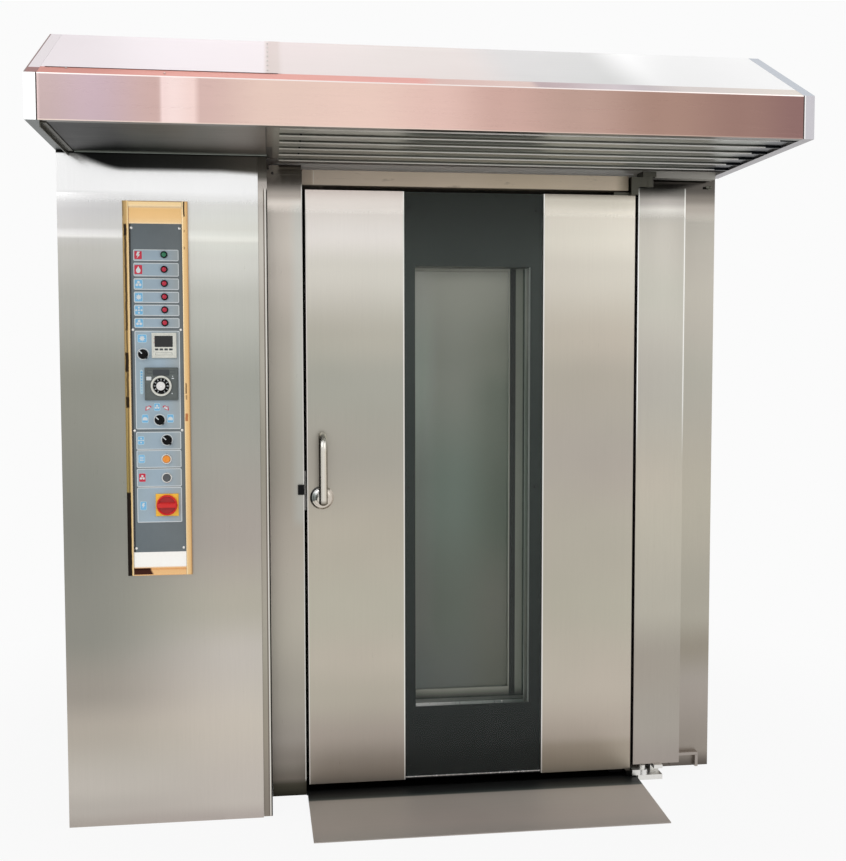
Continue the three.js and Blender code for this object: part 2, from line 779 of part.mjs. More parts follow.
// ---------------------------------------------------------------- control panel
function makeControls() {
  const trayFront = -seat - trayThickness;
  const plateFront = trayFront - seat - plateThickness;
  const trayWidth = plateWidth - 2 * trayLip;
  const trayHeight = plateHeight - 2 * trayLip;
  const trimMiddle = trimTop - trimHeight / 2;
  add(
    "gold_trim_frame",
    brass,
    cut(
      plateY(trimCentre, trimMiddle, trimWidth, trimHeight, -seat - trimDepth, -seat),
      plateY(
        trimCentre,
        trimMiddle,
        trimWidth - 2 * trimRail,
        trimHeight - 2 * trimRail,
        -seat - 2 * trimDepth,
        trayFront,
      ),
      plateY(trimCentre, plateMiddle, trayWidth, trayHeight, -2 * trimDepth, trimDepth),
    ),
  );

  const at = ([offset, drop]) => [trimCentre + offset, plateTop - drop];
  const through = [plateFront - fit, trayFront];
  const [controllerX, controllerZ] = at(controllerPlace);
  const [timerX, timerZ] = at(timerPlace);
  const buttonPlaces = [at(startPlace), at(stopPlace)];
  const stemHoles = [...Object.values(selectorPlaces), mainSwitchPlace].map((place) =>
    rodY(stemRadius + fit, ...at(place), ...through, 16),
  );
  const bezels = buttonPlaces.map((place) =>
    rodY(buttonRadius + running + bezelWidth, ...place, plateFront - bezelProud, plateFront + fit),
  );
  const buttonHoles = buttonPlaces.map((place) =>
    rodY(buttonRadius + running, ...place, plateFront - 2 * bezelProud, trayFront),
  );
  const lampY = [plateFront - lampProud, plateFront + fit];
  const lamps = lampDrops.map((drop) => rodY(lampRadius, ...at([lampOffset, drop]), ...lampY, 24));
  const casings = [
    caseHole(controllerX, controllerZ, controllerWidth, controllerHeight, ...through),
    caseHole(timerX, timerZ, timerSize, timerSize, ...through),
  ];
  const facing = [plateFront, trayFront - seat];
  const plate = plateY(trimCentre, plateMiddle, plateWidth, plateHeight, ...facing);
  add(
    "control_plate",
    slatePaint,
    cut(join(plate, ...bezels, ...lamps), ...stemHoles, ...buttonHoles, ...casings),
  );

  const faceBack = plateFront - seat;
  add(
    "temperature_controller",
    whitePlastic,
    instrument(controllerX, controllerZ, controllerWidth, controllerHeight, controllerDepth, faceBack),
  );
  const dialZ = timerZ - timerDialDrop;
  add(
    "timer_body",
    blackPlastic,
    cut(
      instrument(timerX, timerZ, timerSize, timerSize, timerDepth, faceBack),
      rodY(stemRadius + running, timerX, dialZ, faceBack - 2 * faceDepth, faceBack + stemDepth, 16),
    ),
  );
  const dialBack = faceBack - faceDepth - seat;
  const dialFront = dialBack - timerDialThickness;
  add(
    "timer_dial",
    blackPlastic,
    join(
      rodY(timerDialRadius, timerX, dialZ, dialFront, dialBack, 36),
      rodY(knobRadius, timerX, dialZ, dialBack - knobDepth, dialFront + fit),
      rodY(stemRadius, timerX, dialZ, dialBack - fit, faceBack + stemDepth - fit, 16),
    ),
  );

  for (const [place, where] of Object.entries(selectorPlaces)) {
    add("selector_knob_" + place, blackPlastic, selectorKnob(...at(where), faceBack));
  }
  const [startAt, stopAt] = buttonPlaces;
  add("start_button", orangePlastic, pushButton(...startAt, plateFront));
  add("stop_button", blackPlastic, pushButton(...stopAt, plateFront));

  const [switchX, switchZ] = at(mainSwitchPlace);
  const switchFront = faceBack - switchPlateThickness;
  add(
    "main_switch_plate",
    yellowPlastic,
    cut(
      plateY(switchX, switchZ, switchPlateSize, switchPlateSize, switchFront, faceBack),
      rodY(stemRadius + fit, switchX, switchZ, switchFront - fit, faceBack + fit, 16),
    ),
  );
  const knobBack = switchFront - seat;
  const gripY = [knobBack - switchKnobDepth, knobBack - fit];
  add(
    "main_switch_knob",
    redPlastic,
    join(
      rodY(switchKnobRadius, switchX, switchZ, knobBack - switchKnobDepth / 2, knobBack, 40),
      plateY(switchX, switchZ, switchGripLength, switchGripWidth, ...gripY),
      rodY(stemRadius, switchX, switchZ, knobBack - fit, faceBack + stemDepth, 16),
    ),
  );
}

// Cut-out for an instrument's case, a little wider than the case behind its face
const caseHole = (x, z, width, height, y0, y1) =>
  plateY(x, z, width - 2 * bezelStep + fit, height - 2 * bezelStep + fit, y0, y1 + fit);

// Square instrument: a face on the plate and a case through the cut-out
function instrument(x, z, width, height, depth, faceBack) {
  return join(
    plateY(x, z, width, height, faceBack - faceDepth, faceBack),
    plateY(x, z, width - 2 * bezelStep, height - 2 * bezelStep, faceBack - fit, faceBack + depth),
  );
}

// Round knob with a pointer bar across its top, whose longer end is the lever
function selectorKnob(x, z, back) {
  const face = back - knobDepth;
  const bar = box(
    -pointerWidth / 2,
    pointerWidth / 2,
    face,
    back - knobSkirt + fit,
    -pointerTail,
    pointerTip,
  );
  const body = turnedY(
    [
      [0, face + knobDish],
      [knobCapRadius, face + knobDish],
      [knobCapRadius, back - knobSkirt],
      [knobRadius, back - knobSkirt],
      [knobRadius, back],
      [0, back],
    ],
    x,
    z,
  );
  return join(
    body,
    bar.rotate([0, -pointerTilt, 0]).translate([x, 0, z]),
    rodY(stemRadius, x, z, back - fit, back + stemDepth, 16),
  );
}

const pushButton = (x, z, plateFront) =>
  rodY(buttonRadius, x, z, plateFront - buttonProud, plateFront - buttonProud + buttonDepth);

// ---------------------------------------------------------------- door
function makeDoor() {
  const leftLeafRight = doorLeft + leftLeafWidth;
  const rightLeafLeft = doorRight - rightLeafWidth;
  const latchY = doorFront + latchInset;
  const latchEnd = doorLeft - latchProud + latchLength;
  const spindleX = doorLeft + rosetteX;
  const spindleY = [doorFront - fit, doorFront + spindleDepth + fit];
  add(
    "door_left_leaf",
    brushedSteel,
    cut(
      box(doorLeft, leftLeafRight, doorFront, doorBack, doorBottom, doorTop),
      rodY(spindleRadius + running, spindleX, rosetteHeight, ...spindleY),
      box(
        doorLeft - fit,
        latchEnd + fit,
        latchY - latchThickness / 2,
        latchY + latchThickness / 2,
        latchHeight - latchTall / 2,
        latchHeight + latchTall / 2,
      ),
    ),
  );
  add(
    "latch_bolt",
    darkSteel,
    box(
      doorLeft - latchProud,
      latchEnd,
      latchY - latchThickness / 2 + running,
      latchY + latchThickness / 2 - running,
      latchHeight - latchTall / 2 + running,
      latchHeight + latchTall / 2 - running,
    ),
  );
  add(
    "door_right_leaf",
    brushedSteel,
    box(rightLeafLeft, doorRight, doorFront, doorBack, doorBottom, doorTop),
  );

  const paneLeft = leftLeafRight + seat;
  const paneRight = rightLeafLeft - seat;
  const paneFront = doorFront + glassInset;
  const paneBack = paneFront + glassThickness;
  const paneBottom = doorBottom + glassBottomStep;
  const paneTop = doorTop - glassTopStep;
  add(
    "door_outer_glass",
    blackGlass,
    box(paneLeft, paneRight, paneFront, paneBack, paneBottom, paneTop),
  );

  const frameFront = paneBack + seat;
  const inner = {
    left: paneLeft + innerWindowLeft,
    right: paneRight - innerWindowRight,
    bottom: paneBottom + innerWindowBottom,
    top: paneTop - innerWindowTop,
  };
  const rebate = doorBack - glassThickness - 2 * seat;
  const frame = cut(
    box(paneLeft, paneRight, frameFront, doorBack, doorBottom, doorTop),
    box(
      paneLeft + windowLeft,
      paneRight - windowRight,
      frameFront - fit,
      rebate - innerLip,
      paneBottom + windowBottom,
      paneTop - windowTop,
    ),
    box(inner.left, inner.right, frameFront, doorBack + fit, inner.bottom, inner.top),
    box(
      inner.left - innerGlassOverlap - seat,
      inner.right + innerGlassOverlap + seat,
      rebate,
      doorBack + fit,
      inner.bottom - innerGlassOverlap - seat,
      inner.top + innerGlassOverlap + seat,
    ),
  );
  add("door_window_frame", darkSteel, frame);
  add(
    "door_inner_glass",
    clearGlass,
    box(
      inner.left - innerGlassOverlap,
      inner.right + innerGlassOverlap,
      rebate + seat,
      rebate + seat + glassThickness,
      inner.bottom - innerGlassOverlap,
      inner.top + innerGlassOverlap,
    ),
  );

  const gasketLeft = doorLeft + gasketInset;
  const gasketRight = doorRight - gasketInset;
  const gasketTop = openingTop + gasketWidth;
  const gasketY = [doorBack + seat, jambFace - seat];
  const gasketInner = [gasketLeft + gasketWidth, gasketRight - gasketWidth];
  add(
    "door_gasket",
    rubber,
    cut(
      box(gasketLeft, gasketRight, ...gasketY, doorBottom + gasketFoot, gasketTop),
      box(...gasketInner, doorBack, jambFace, doorBottom, openingTop),
    ),
  );
}

// ---------------------------------------------------------------- hinges
function makeHinges() {
  const webLeft = doorRight - armWebInset;
  const webRight = doorRight + armWebReach;
  const armY = [hingeY - armDepth / 2, hingeY + armDepth / 2];
  const strapX = [doorRight - strapLength, doorRight];
  const strapY = [armY[1] - strapLap, doorBack - strapInset];

  const upperZ = [coverTop + armTopGap, coverTop + armTopGap + armHeight];
  const strapBottom = doorTop + seat;
  const upperArm = cut(
    join(
      box(...strapX, ...strapY, strapBottom, strapBottom + strapThickness),
      box(webLeft, webRight, ...armY, strapBottom, upperZ[1]),
      box(doorRight, hingeX, ...armY, ...upperZ),
      rodZ(eyeRadius, hingeX, hingeY, ...upperZ),
    ),
    rodZ(pinRadius + running, hingeX, hingeY, upperZ[0] - fit, upperZ[1] + fit),
  );
  add("door_upper_arm", darkSteel, upperArm);

  const lowerZ = [baseHeight + pivotBlockStep + running, doorBottom - seat];
  const lowerArm = cut(
    join(
      box(...strapX, ...strapY, lowerZ[1] - strapThickness, lowerZ[1]),
      box(webLeft, hingeX, ...armY, ...lowerZ),
      rodZ(eyeRadius, hingeX, hingeY, ...lowerZ),
    ),
    rodZ(pinRadius + running, hingeX, hingeY, lowerZ[0] - fit, lowerZ[1] + fit),
  );
  add("door_lower_arm", darkSteel, lowerArm);

  const bracketZ = [upperZ[1] + running, ceilingHeight - seat];
  const bracketY = [hingeY - eyeRadius, stripSetback - seat];
  const bracketMiddle = (bracketY[0] + bracketY[1]) / 2;
  const bracketDepth = bracketY[1] - bracketY[0];
  add(
    "upper_hinge_pin",
    darkSteel,
    join(
      rodZ(pinRadius, hingeX, hingeY, coverTop + seat, ceilingHeight - seat),
      plateZ(hingeX, bracketMiddle, bracketWidth, bracketDepth, ...bracketZ),
    ),
  );
}

// ---------------------------------------------------------------- handle
function makeHandle() {
  const x = doorLeft + handleX;
  const hubX = doorLeft + rosetteX;
  const y = doorFront - gripStandoff;
  const bendStart = rosetteHeight + gripLength - gripRadius - gripBend;
  const path = new THREE.CurvePath();
  path.add(
    new THREE.LineCurve3(
      new THREE.Vector3(x, y, rosetteHeight - gripBelow),
      new THREE.Vector3(x, y, bendStart),
    ),
  );
  const k = gripBend * 0.5523; // quarter circle as a Bezier curve
  path.add(
    new THREE.CubicBezierCurve3(
      new THREE.Vector3(x, y, bendStart),
      new THREE.Vector3(x, y, bendStart + k),
      new THREE.Vector3(x, y + gripBend - k, bendStart + gripBend),
      new THREE.Vector3(x, y + gripBend, bendStart + gripBend),
    ),
  );
  const circle = new THREE.Shape().absarc(0, 0, gripRadius, 0, 2 * Math.PI);
  const tube = new THREE.ExtrudeGeometry(circle, { steps: 16, curveSegments: 9, extrudePath: path });
  const rosetteFront = doorFront - rosetteDepth;
  const boss = rodY(bossRadius, hubX, rosetteHeight, y, rosetteFront - running);
  const spindleY = [rosetteFront - fit, doorFront + spindleDepth];
  const spindle = rodY(spindleRadius, hubX, rosetteHeight, ...spindleY);
  add("door_handle", brushedSteel, join(solid(tube), boss, spindle));

  const rose = turnedY(
    [
      [spindleRadius + running, rosetteFront],
      [rosetteRadius - rosetteBevel, rosetteFront],
      [rosetteRadius, doorFront - rosetteEdge],
      [rosetteRadius, doorFront - seat],
      [spindleRadius + running, doorFront - seat],
      [spindleRadius + running, rosetteFront],
    ],
    hubX,
    rosetteHeight,
    48,
  );
  add("handle_rosette", brushedSteel, rose);
}

// ---------------------------------------------------------------- carousel and drive
function makeCarousel() {
  const platformRadius = chamberWidth / 2 - platformWallGap;
  const platformBottom = baseHeight + platformClearance;
  const platformTop = platformBottom + platformThickness;
  add(
    "turntable",
    brushedSteel,
    rodZ(platformRadius, chamberX, chamberY, platformBottom, platformTop, 64),
  );
  const beamTop = ceilingHeight - beamTopGap;
  const beamBottom = beamTop - beamHeight;
  const halfSpan = platformRadius - uprightInset;
  const uprightX = halfSpan - uprightWidth / 2;
  const sides = { left: -uprightX, right: uprightX };
  for (const [side, offset] of Object.entries(sides)) {
    add(
      "carrier_upright_" + side,
      brushedSteel,
      plateZ(
        chamberX + offset,
        chamberY,
        uprightWidth,
        uprightDepth,
        platformTop + seat,
        beamBottom - seat,
      ),
    );
  }
  const shaftTop = roofTop + shaftEngagement;
  add(
    "carrier_beam",
    brushedSteel,
    join(
      plateZ(chamberX, chamberY, 2 * halfSpan, uprightDepth, beamBottom, beamTop),
      rodZ(shaftRadius, chamberX, chamberY, beamTop - fit, shaftTop),
    ),
  );

  const gearboxBottom = roofTop + flangeHeight;
  const gearboxTop = gearboxBottom + gearboxHeight;
  const drive = cut(
    join(
      rodZ(flangeRadius, chamberX, chamberY, roofTop + seat, gearboxBottom + fit),
      plateZ(chamberX, chamberY, gearboxSize, gearboxSize, gearboxBottom, gearboxTop),
      rodZ(motorRadius, chamberX, chamberY, gearboxTop - fit, gearboxTop + motorHeight),
    ),
    rodZ(shaftRadius + running, chamberX, chamberY, roofTop, shaftTop + running),
  );
  add("gear_motor", machinePaint, drive);
}

// ---------------------------------------------------------------- fan, burner and heat exchanger
function makeFan(impellerTop, impellerBottom) {
  const shaftTop = roofTop + fanFootThickness + fanShaftEngagement;
  const bladeTop = impellerTop - fanBackplate + fit;
  const bladeReach = fanRadius - fanBladeInset - fanBladeLength / 2;
  const blade = (angle) =>
    solid(
      new THREE.BoxGeometry(fanBladeLength, fanBladeThickness, bladeTop - impellerBottom)
        .translate(bladeReach, 0, 0)
        .rotateZ(angle)
        .translate(plantX, fanSetback, (bladeTop + impellerBottom) / 2),
    );
  const pieces = [
    rodZ(fanRadius, plantX, fanSetback, impellerTop - fanBackplate, impellerTop, 48),
    rodZ(fanHubRadius, plantX, fanSetback, impellerTop - fanHeight / 2, impellerTop),
    rodZ(fanShaftRadius, plantX, fanSetback, impellerTop - fit, shaftTop),
  ];
  for (let i = 0; i < fanBlades; i++) {
    pieces.push(blade((2 * Math.PI * i) / fanBlades));
  }
  add("fan_impeller", brushedSteel, join(...pieces));

  const footTop = roofTop + seat + fanFootThickness;
  const foot = plateZ(plantX, fanSetback, fanFoot, fanFoot, roofTop + seat, footTop);
  const motor = rodZ(fanMotorRadius, plantX, fanSetback, footTop - fit, footTop + fanMotorHeight);
  const shaftHole = rodZ(fanShaftRadius + running, plantX, fanSetback, roofTop, shaftTop + running);
  add("fan_motor", machinePaint, cut(join(foot, motor), shaftHole));
}

function makeHeatExchanger(bankTop) {
  const middle = (drumFront + drumRear) / 2;
  const bankLength = drumRear - drumFront - 2 * bankInset;
  const flueTop = roofTop + flueRise;
  const legY = [drumFront + legInset, drumRear - legInset];
  const legs = legY.map((y) =>
    plateZ(plantX, y, legSpan, legWidth, baseHeight + seat, drumHeight),
  );
  const body = join(
    rodY(drumRadius, plantX, drumHeight, drumFront, drumRear, 40),
    plateZ(plantX, middle, neckWidth, neckLength, drumHeight, bankBottom + fit),
    plateZ(plantX, middle, bankWidth, bankLength, bankBottom, bankTop),
    rodZ(flueRadius, plantX, flueY, bankTop - fit, flueTop),
    ...legs,
  );
  const bankLeft = plantX - bankWidth / 2;
  const bankRight = plantX + bankWidth / 2;
  const grooves = [];
  for (let i = 1; i <= bankGrooves; i++) {
    const z = bankBottom + ((bankTop - bankBottom) * i) / (bankGrooves + 1);
    const reach = [drumFront, drumRear, z - bankGroove / 2, z + bankGroove / 2];
    grooves.push(
      box(bankLeft - fit, bankLeft + bankGrooveDepth, ...reach),
      box(bankRight - bankGrooveDepth, bankRight + fit, ...reach),
    );
  }
  const bore = rodZ(flueRadius - flueWall, plantX, flueY, flueTop - flueBore, flueTop + fit);
  add("heat_exchanger", castIron, cut(body, ...grooves, bore));
}

function makeBurner() {
  const tubeFront = drumFront - seat - blastTubeLength;
  const burnerFront = tubeFront - burnerLength;
  const bottom = drumHeight - burnerSize / 2;
  const sides = [plantX - burnerSize / 2, plantX + burnerSize / 2];
  add(
    "burner",
    machinePaint,
    join(
      rodY(blastTubeRadius, plantX, drumHeight, tubeFront - fit, drumFront - seat),
      box(...sides, burnerFront, tubeFront, bottom, bottom + burnerSize),
      rodX(blowerRadius, burnerFront + blowerRadius, bottom, ...sides),
    ),
  );
}

// Cast bars in the supply duct, on two ribs that stand on the floor
function makeSteamGenerator() {
  const ductRight = chamberLeft - airPanelThickness;
  const middle = (partitionRight + ductRight) / 2;
  const thickness = ductRight - partitionRight - 2 * steamerGap;
  const floor = baseHeight + seat;
  const pieces = [];
  for (let i = 1; i <= steamerBars; i++) {
    const z = floor + steamerPitch * i;
    pieces.push(plateZ(middle, chamberY, thickness, steamerLength, z, z + steamerBarHeight));
  }
  const top = floor + steamerPitch * steamerBars + fit;
  const ribY = steamerLength / 2 - legWidth;
  for (const y of [chamberY - ribY, chamberY + ribY]) {
    pieces.push(plateZ(middle, y, steamerRib, legWidth, floor, top));
  }
  add("steam_generator", castIron, join(...pieces));
}

function makeHotAirSide() {
  const impellerTop = ceilingHeight - fanTopGap;
  const impellerBottom = impellerTop - fanHeight;
  makeFan(impellerTop, impellerBottom);
  makeHeatExchanger(impellerBottom - bankTopGap);
  makeBurner();
  makeSteamGenerator();
}

makeCabinet();
makeChamber();
makeBase();
makeHood();
makeControls();
makeDoor();
makeHinges();
makeHandle();
makeCarousel();
makeHotAirSide();

oven.position.set(-hoodRight / 2, (hoodOverhang - bodyBack) / 2, 0);

export default oven;
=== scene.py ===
"""Rotating rack oven: its finishes and small parts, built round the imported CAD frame.

Everything is in metres, in the frame's own axes: x right, y into the oven, z up. MM turns a measured
size in millimetres into metres. Colours are written as 0 to 255 screen values.
"""
import math

import bmesh
import bpy
from mathutils import Matrix, Vector


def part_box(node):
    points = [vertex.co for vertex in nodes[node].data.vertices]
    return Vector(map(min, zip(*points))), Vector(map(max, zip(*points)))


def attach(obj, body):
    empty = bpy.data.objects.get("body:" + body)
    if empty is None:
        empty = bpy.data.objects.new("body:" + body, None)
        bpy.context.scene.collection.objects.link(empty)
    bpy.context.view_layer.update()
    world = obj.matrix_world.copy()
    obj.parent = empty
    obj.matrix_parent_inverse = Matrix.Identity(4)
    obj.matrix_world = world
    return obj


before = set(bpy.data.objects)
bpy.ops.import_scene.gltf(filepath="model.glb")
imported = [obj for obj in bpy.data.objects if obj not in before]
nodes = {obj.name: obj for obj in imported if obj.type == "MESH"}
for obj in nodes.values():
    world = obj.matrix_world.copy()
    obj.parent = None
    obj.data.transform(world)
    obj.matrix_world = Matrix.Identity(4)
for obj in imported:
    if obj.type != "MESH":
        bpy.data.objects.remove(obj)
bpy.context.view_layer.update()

MM = 0.001


# ---------------------------------------------------------------- camera
FOCAL_PIXELS = 1141.35  # from the photograph's vanishing points
IMAGE_LONG_SIDE = 861
SENSOR = 36.0
CAMERA_PLACE = (-0.4503, -4.1413, 1.4271)
CAMERA_YAW, CAMERA_PITCH, CAMERA_ROLL = 7.55, -3.47, -0.08  # degrees, to the right, up and clockwise


def make_camera():
    """Camera at the photograph's viewing point, with the lens that its vanishing points give."""
    data = bpy.data.cameras.new("camera")
    data.sensor_width = SENSOR
    data.sensor_fit = "AUTO"
    data.lens = FOCAL_PIXELS * SENSOR / IMAGE_LONG_SIDE
    camera = bpy.data.objects.new("camera", data)
    bpy.context.scene.collection.objects.link(camera)
    turn = (
        Matrix.Rotation(math.radians(-CAMERA_YAW), 4, "Z")
        @ Matrix.Rotation(math.radians(90 + CAMERA_PITCH), 4, "X")
        @ Matrix.Rotation(math.radians(CAMERA_ROLL), 4, "Z")
    )
    camera.matrix_world = Matrix.Translation(CAMERA_PLACE) @ turn
    bpy.context.scene.camera = camera


# ---------------------------------------------------------------- shader helpers
def linear(value):
    share = value / 255
    return share / 12.92 if share <= 0.04045 else ((share + 0.055) / 1.055) ** 2.4


def colour(red, green=None, blue=None):
    """Screen values 0 to 255 as a linear colour; one value gives a grey."""
    green = red if green is None else green
    blue = green if blue is None else blue
    return (linear(red), linear(green), linear(blue), 1.0)


class Finish:
    """A node material: its Principled shader, and short ways to wire what feeds it."""

    def __init__(self, name, slot, **constants):
        self.slot = slot
        self.material = bpy.data.materials.new(name)
        self.material.use_nodes = True
        self.tree = self.material.node_tree
        self.shader = self.tree.nodes["Principled BSDF"]
        self.parts = None
        self.looks = None
        for socket, value in constants.items():
            self.shader.inputs[socket.replace("_", " ")].default_value = value

    def add(self, kind, **settings):
        node = self.tree.nodes.new("ShaderNode" + kind)
        for key, value in settings.items():
            setattr(node, key, value)
        return node

    def feed(self, socket, value):
        if isinstance(value, bpy.types.NodeSocket):
            self.tree.links.new(value, socket)
        else:
            socket.default_value = value

    def set(self, socket, value):
        self.feed(self.shader.inputs[socket], value)

    def place(self):
        """The point on the part at rest, in metres: every mesh is built in the frame's axes."""
        if self.parts is None:
            coordinates = self.add("TexCoord")
            split = self.add("SeparateXYZ")
            self.tree.links.new(coordinates.outputs["Object"], split.inputs[0])
            self.parts = {
                "point": coordinates.outputs["Object"], "x": split.outputs["X"], "y": split.outputs["Y"],
                "z": split.outputs["Z"]
            }
        return self.parts

    def math(self, operation, a, b=0.0):
        node = self.add("Math", operation=operation)
        self.feed(node.inputs[0], a)
        self.feed(node.inputs[1], b)
        return node.outputs[0]

    def span(self, value, low, high, to_low=0.0, to_high=1.0, soft=False):
        """Carry a value, or the place along a named axis, from one range to another, held at its ends."""
        node = self.add("MapRange", interpolation_type="SMOOTHSTEP" if soft else "LINEAR")
        for socket, given in zip(node.inputs, (self.reading(value), low, high, to_low, to_high)):
            self.feed(socket, given)
        return node.outputs[0]

    def noise(self, scale, stretch=(1, 1, 1), detail=3.0, rough=0.55):
        """Cloudy values about 0.5, at a scale per metre."""
        mapping = self.add("Mapping")
        mapping.inputs["Scale"].default_value = stretch
        self.tree.links.new(self.place()["point"], mapping.inputs[0])
        node = self.add("TexNoise")
        self.tree.links.new(mapping.outputs[0], node.inputs["Vector"])
        node.inputs["Scale"].default_value = scale
        node.inputs["Detail"].default_value = detail
        node.inputs["Roughness"].default_value = rough
        return node.outputs["Fac"]

    def ramp(self, factor, stops):
        """Colour from a factor of 0 to 1, eased between stops of (position, colour)."""
        node = self.add("ValToRGB")
        bar = node.color_ramp
        bar.interpolation = "EASE"
        while len(bar.elements) < len(stops):
            bar.elements.new(0.5)
        for element, (position, shade) in zip(bar.elements, stops):
            element.position = position
            element.color = shade
        self.feed(node.inputs[0], factor)
        return node.outputs[0]

    def reading(self, axis):
        """An axis name as its place on the part; a socket is passed on as it is."""
        return self.place()[axis] if isinstance(axis, str) else axis

    def facing(self, rounded=False):
        """Which way the surface looks, in the part's own axes; rounded follows the smooth shading."""
        split = self.add("SeparateXYZ")
        if rounded:
            self.tree.links.new(self.add("TexCoord").outputs["Normal"], split.inputs[0])
        else:
            turn = self.add(
                "VectorTransform", vector_type="NORMAL", convert_from="WORLD", convert_to="OBJECT"
            )
            self.tree.links.new(self.add("NewGeometry").outputs["True Normal"], turn.inputs[0])
            self.tree.links.new(turn.outputs[0], split.inputs[0])
        return {"x": split.outputs["X"], "y": split.outputs["Y"], "z": split.outputs["Z"]}

    def side(self, axis, sense, start=0.5):
        """1 where the surface looks along an axis, in its positive (1) or negative (-1) sense, else 0."""
        if self.looks is None:
            self.looks = self.facing()
        return self.span(self.looks[axis], sense * start, sense * (start + 0.2))

    def tones(self, axis, stops):
        """Colour along an axis. A stop is (place in metres, red, green, blue), or (place, grey)."""
        first, last = stops[0][0], stops[-1][0]
        shades = [((at - first) / (last - first), colour(*shade)) for at, *shade in stops]
        return self.ramp(self.span(axis, first, last), shades)

    def zone(self, axis, low, high, soft=0.001):
        """1 between two places along an axis and 0 beyond them."""
        rise = self.span(axis, low - soft / 2, low + soft / 2)
        fall = self.span(axis, high - soft / 2, high + soft / 2, 1.0, 0.0)
        return self.math("MULTIPLY", rise, fall)

    def over(self, base, shade, *masks):
        """Lay a colour over another where every mask is 1."""
        share = masks[0]
        for mask in masks[1:]:
            share = self.math("MULTIPLY", share, mask)
        return self.mix(share, base, colour(*shade))

    def mix(self, factor, a, b, blend="MIX"):
        node = self.add("Mix", data_type="RGBA", blend_type=blend)
        self.feed(node.inputs["Factor"], factor)
        self.feed(node.inputs[6], a)
        self.feed(node.inputs[7], b)
        return node.outputs[2]

    def bump(self, height, distance, strength=1.0, bulge=None):
        """Fine relief; a bulge is a height in metres that bends the whole sheet under it."""
        node = self.add("Bump")
        node.inputs["Strength"].default_value = strength
        node.inputs["Distance"].default_value = distance
        self.feed(node.inputs["Height"], height)
        if bulge is not None:
            broad = self.add("Bump")
            broad.inputs["Distance"].default_value = 1.0
            self.feed(broad.inputs["Height"], bulge)
            self.tree.links.new(broad.outputs[0], node.inputs["Normal"])
        self.set("Normal", node.outputs[0])


GRAIN = {  # brush marks: fine across the grain, long along it
    "x": (0.02, 1, 1),
    "y": (1, 0.02, 1),
    "z": (1, 1, 0.02),
}


def brushed(
    name, slot, tone, grain="z", roughness=0.34, cloud=0.035, streak=0.03, metallic=0.9, marks=1.0,
    bulge=None
):
    """Brushed sheet: tone(finish) gives its broad colour; smears, tint and brush marks go over it."""
    finish = Finish(name, slot, Metallic=metallic)
    broad = tone(finish)
    smear = finish.span(finish.noise(2.1, detail=2.0), 0.3, 0.7, 1 - cloud, 1 + cloud)
    broad = finish.mix(1.0, broad, smear, "MULTIPLY")
    tint = finish.span(finish.noise(1.3, (1, 1, 1.7), detail=1.0), 0.35, 0.65)
    broad = finish.mix(0.05, broad, finish.mix(tint, colour(205, 225, 205), colour(235, 205, 205)), "OVERLAY")
    fine = finish.noise(900, GRAIN[grain], detail=2.0)
    coarse = finish.noise(150, GRAIN[grain], detail=3.0, rough=0.7)
    lines = finish.math("ADD", finish.math("MULTIPLY", fine, 0.5), finish.math("MULTIPLY", coarse, 0.5))
    bright = finish.span(lines, 0.3, 0.7, 1 - streak, 1 + streak)
    finish.set("Base Color", finish.mix(1.0, broad, bright, "MULTIPLY"))
    gloss = roughness(finish) if callable(roughness) else roughness
    finish.set("Roughness", finish.math("ADD", finish.span(lines, 0.3, 0.7, -0.05, 0.07), gloss))
    finish.bump(lines, 0.0002 * marks, 0.25, bulge(finish) if bulge else None)
    return finish


def flat_tone(*shade):
    """One colour for a whole sheet."""
    return lambda finish: finish.mix(0.0, colour(*shade), colour(*shade))


def along(axis, stops):
    """Colour that changes along one axis only."""
    return lambda finish: finish.tones(axis, stops)


def plastic(name, slot, shade, roughness=0.35, grain=0.02, **constants):
    """Moulded plastic: a faint mottle in its colour and a fine pebbled surface."""
    finish = Finish(name, slot, **constants)
    mottle = finish.span(finish.noise(90, detail=2.0), 0.3, 0.7, 0.93, 1.07)
    finish.set("Base Color", finish.mix(1.0, colour(*shade), mottle, "MULTIPLY"))
    wear = finish.noise(35, detail=3.0)
    finish.set("Roughness", finish.span(wear, 0.3, 0.7, roughness - 0.06, roughness + 0.08))
    finish.bump(finish.noise(2200, detail=1.0), 0.0001, grain * 10)
    return finish


def painted(name, slot, shade, roughness=0.45, wear=0.06):
    """Sprayed or printed paint: orange-peel surface, soft blotches and scuffs that change the gloss."""
    finish = Finish(name, slot)
    blotch = finish.span(finish.noise(12, detail=4.0), 0.3, 0.7, 1 - wear, 1 + wear)
    broad = shade(finish) if callable(shade) else colour(*shade)
    finish.set("Base Color", finish.mix(1.0, broad, blotch, "MULTIPLY"))
    scuff = finish.span(
        finish.noise(70, (1, 1, 0.3), detail=4.0), 0.35, 0.75, roughness - 0.08, roughness + 0.12
    )
    finish.set("Roughness", scuff)
    finish.bump(finish.noise(600, detail=2.0), 0.0001, 0.3)
    return finish


# ---------------------------------------------------------------- frame boxes
class Box:
    """Box of a CAD node at rest."""

    def __init__(self, node):
        low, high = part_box(node)
        self.left, self.front, self.bottom = low
        self.right, self.back, self.top = high
        self.x = (self.left + self.right) / 2
        self.y = (self.front + self.back) / 2
        self.z = (self.bottom + self.top) / 2

    def inset(self, margin):
        """Sides of its front, each moved inwards by a margin."""
        return self.left + margin, self.right - margin, self.bottom + margin, self.top - margin


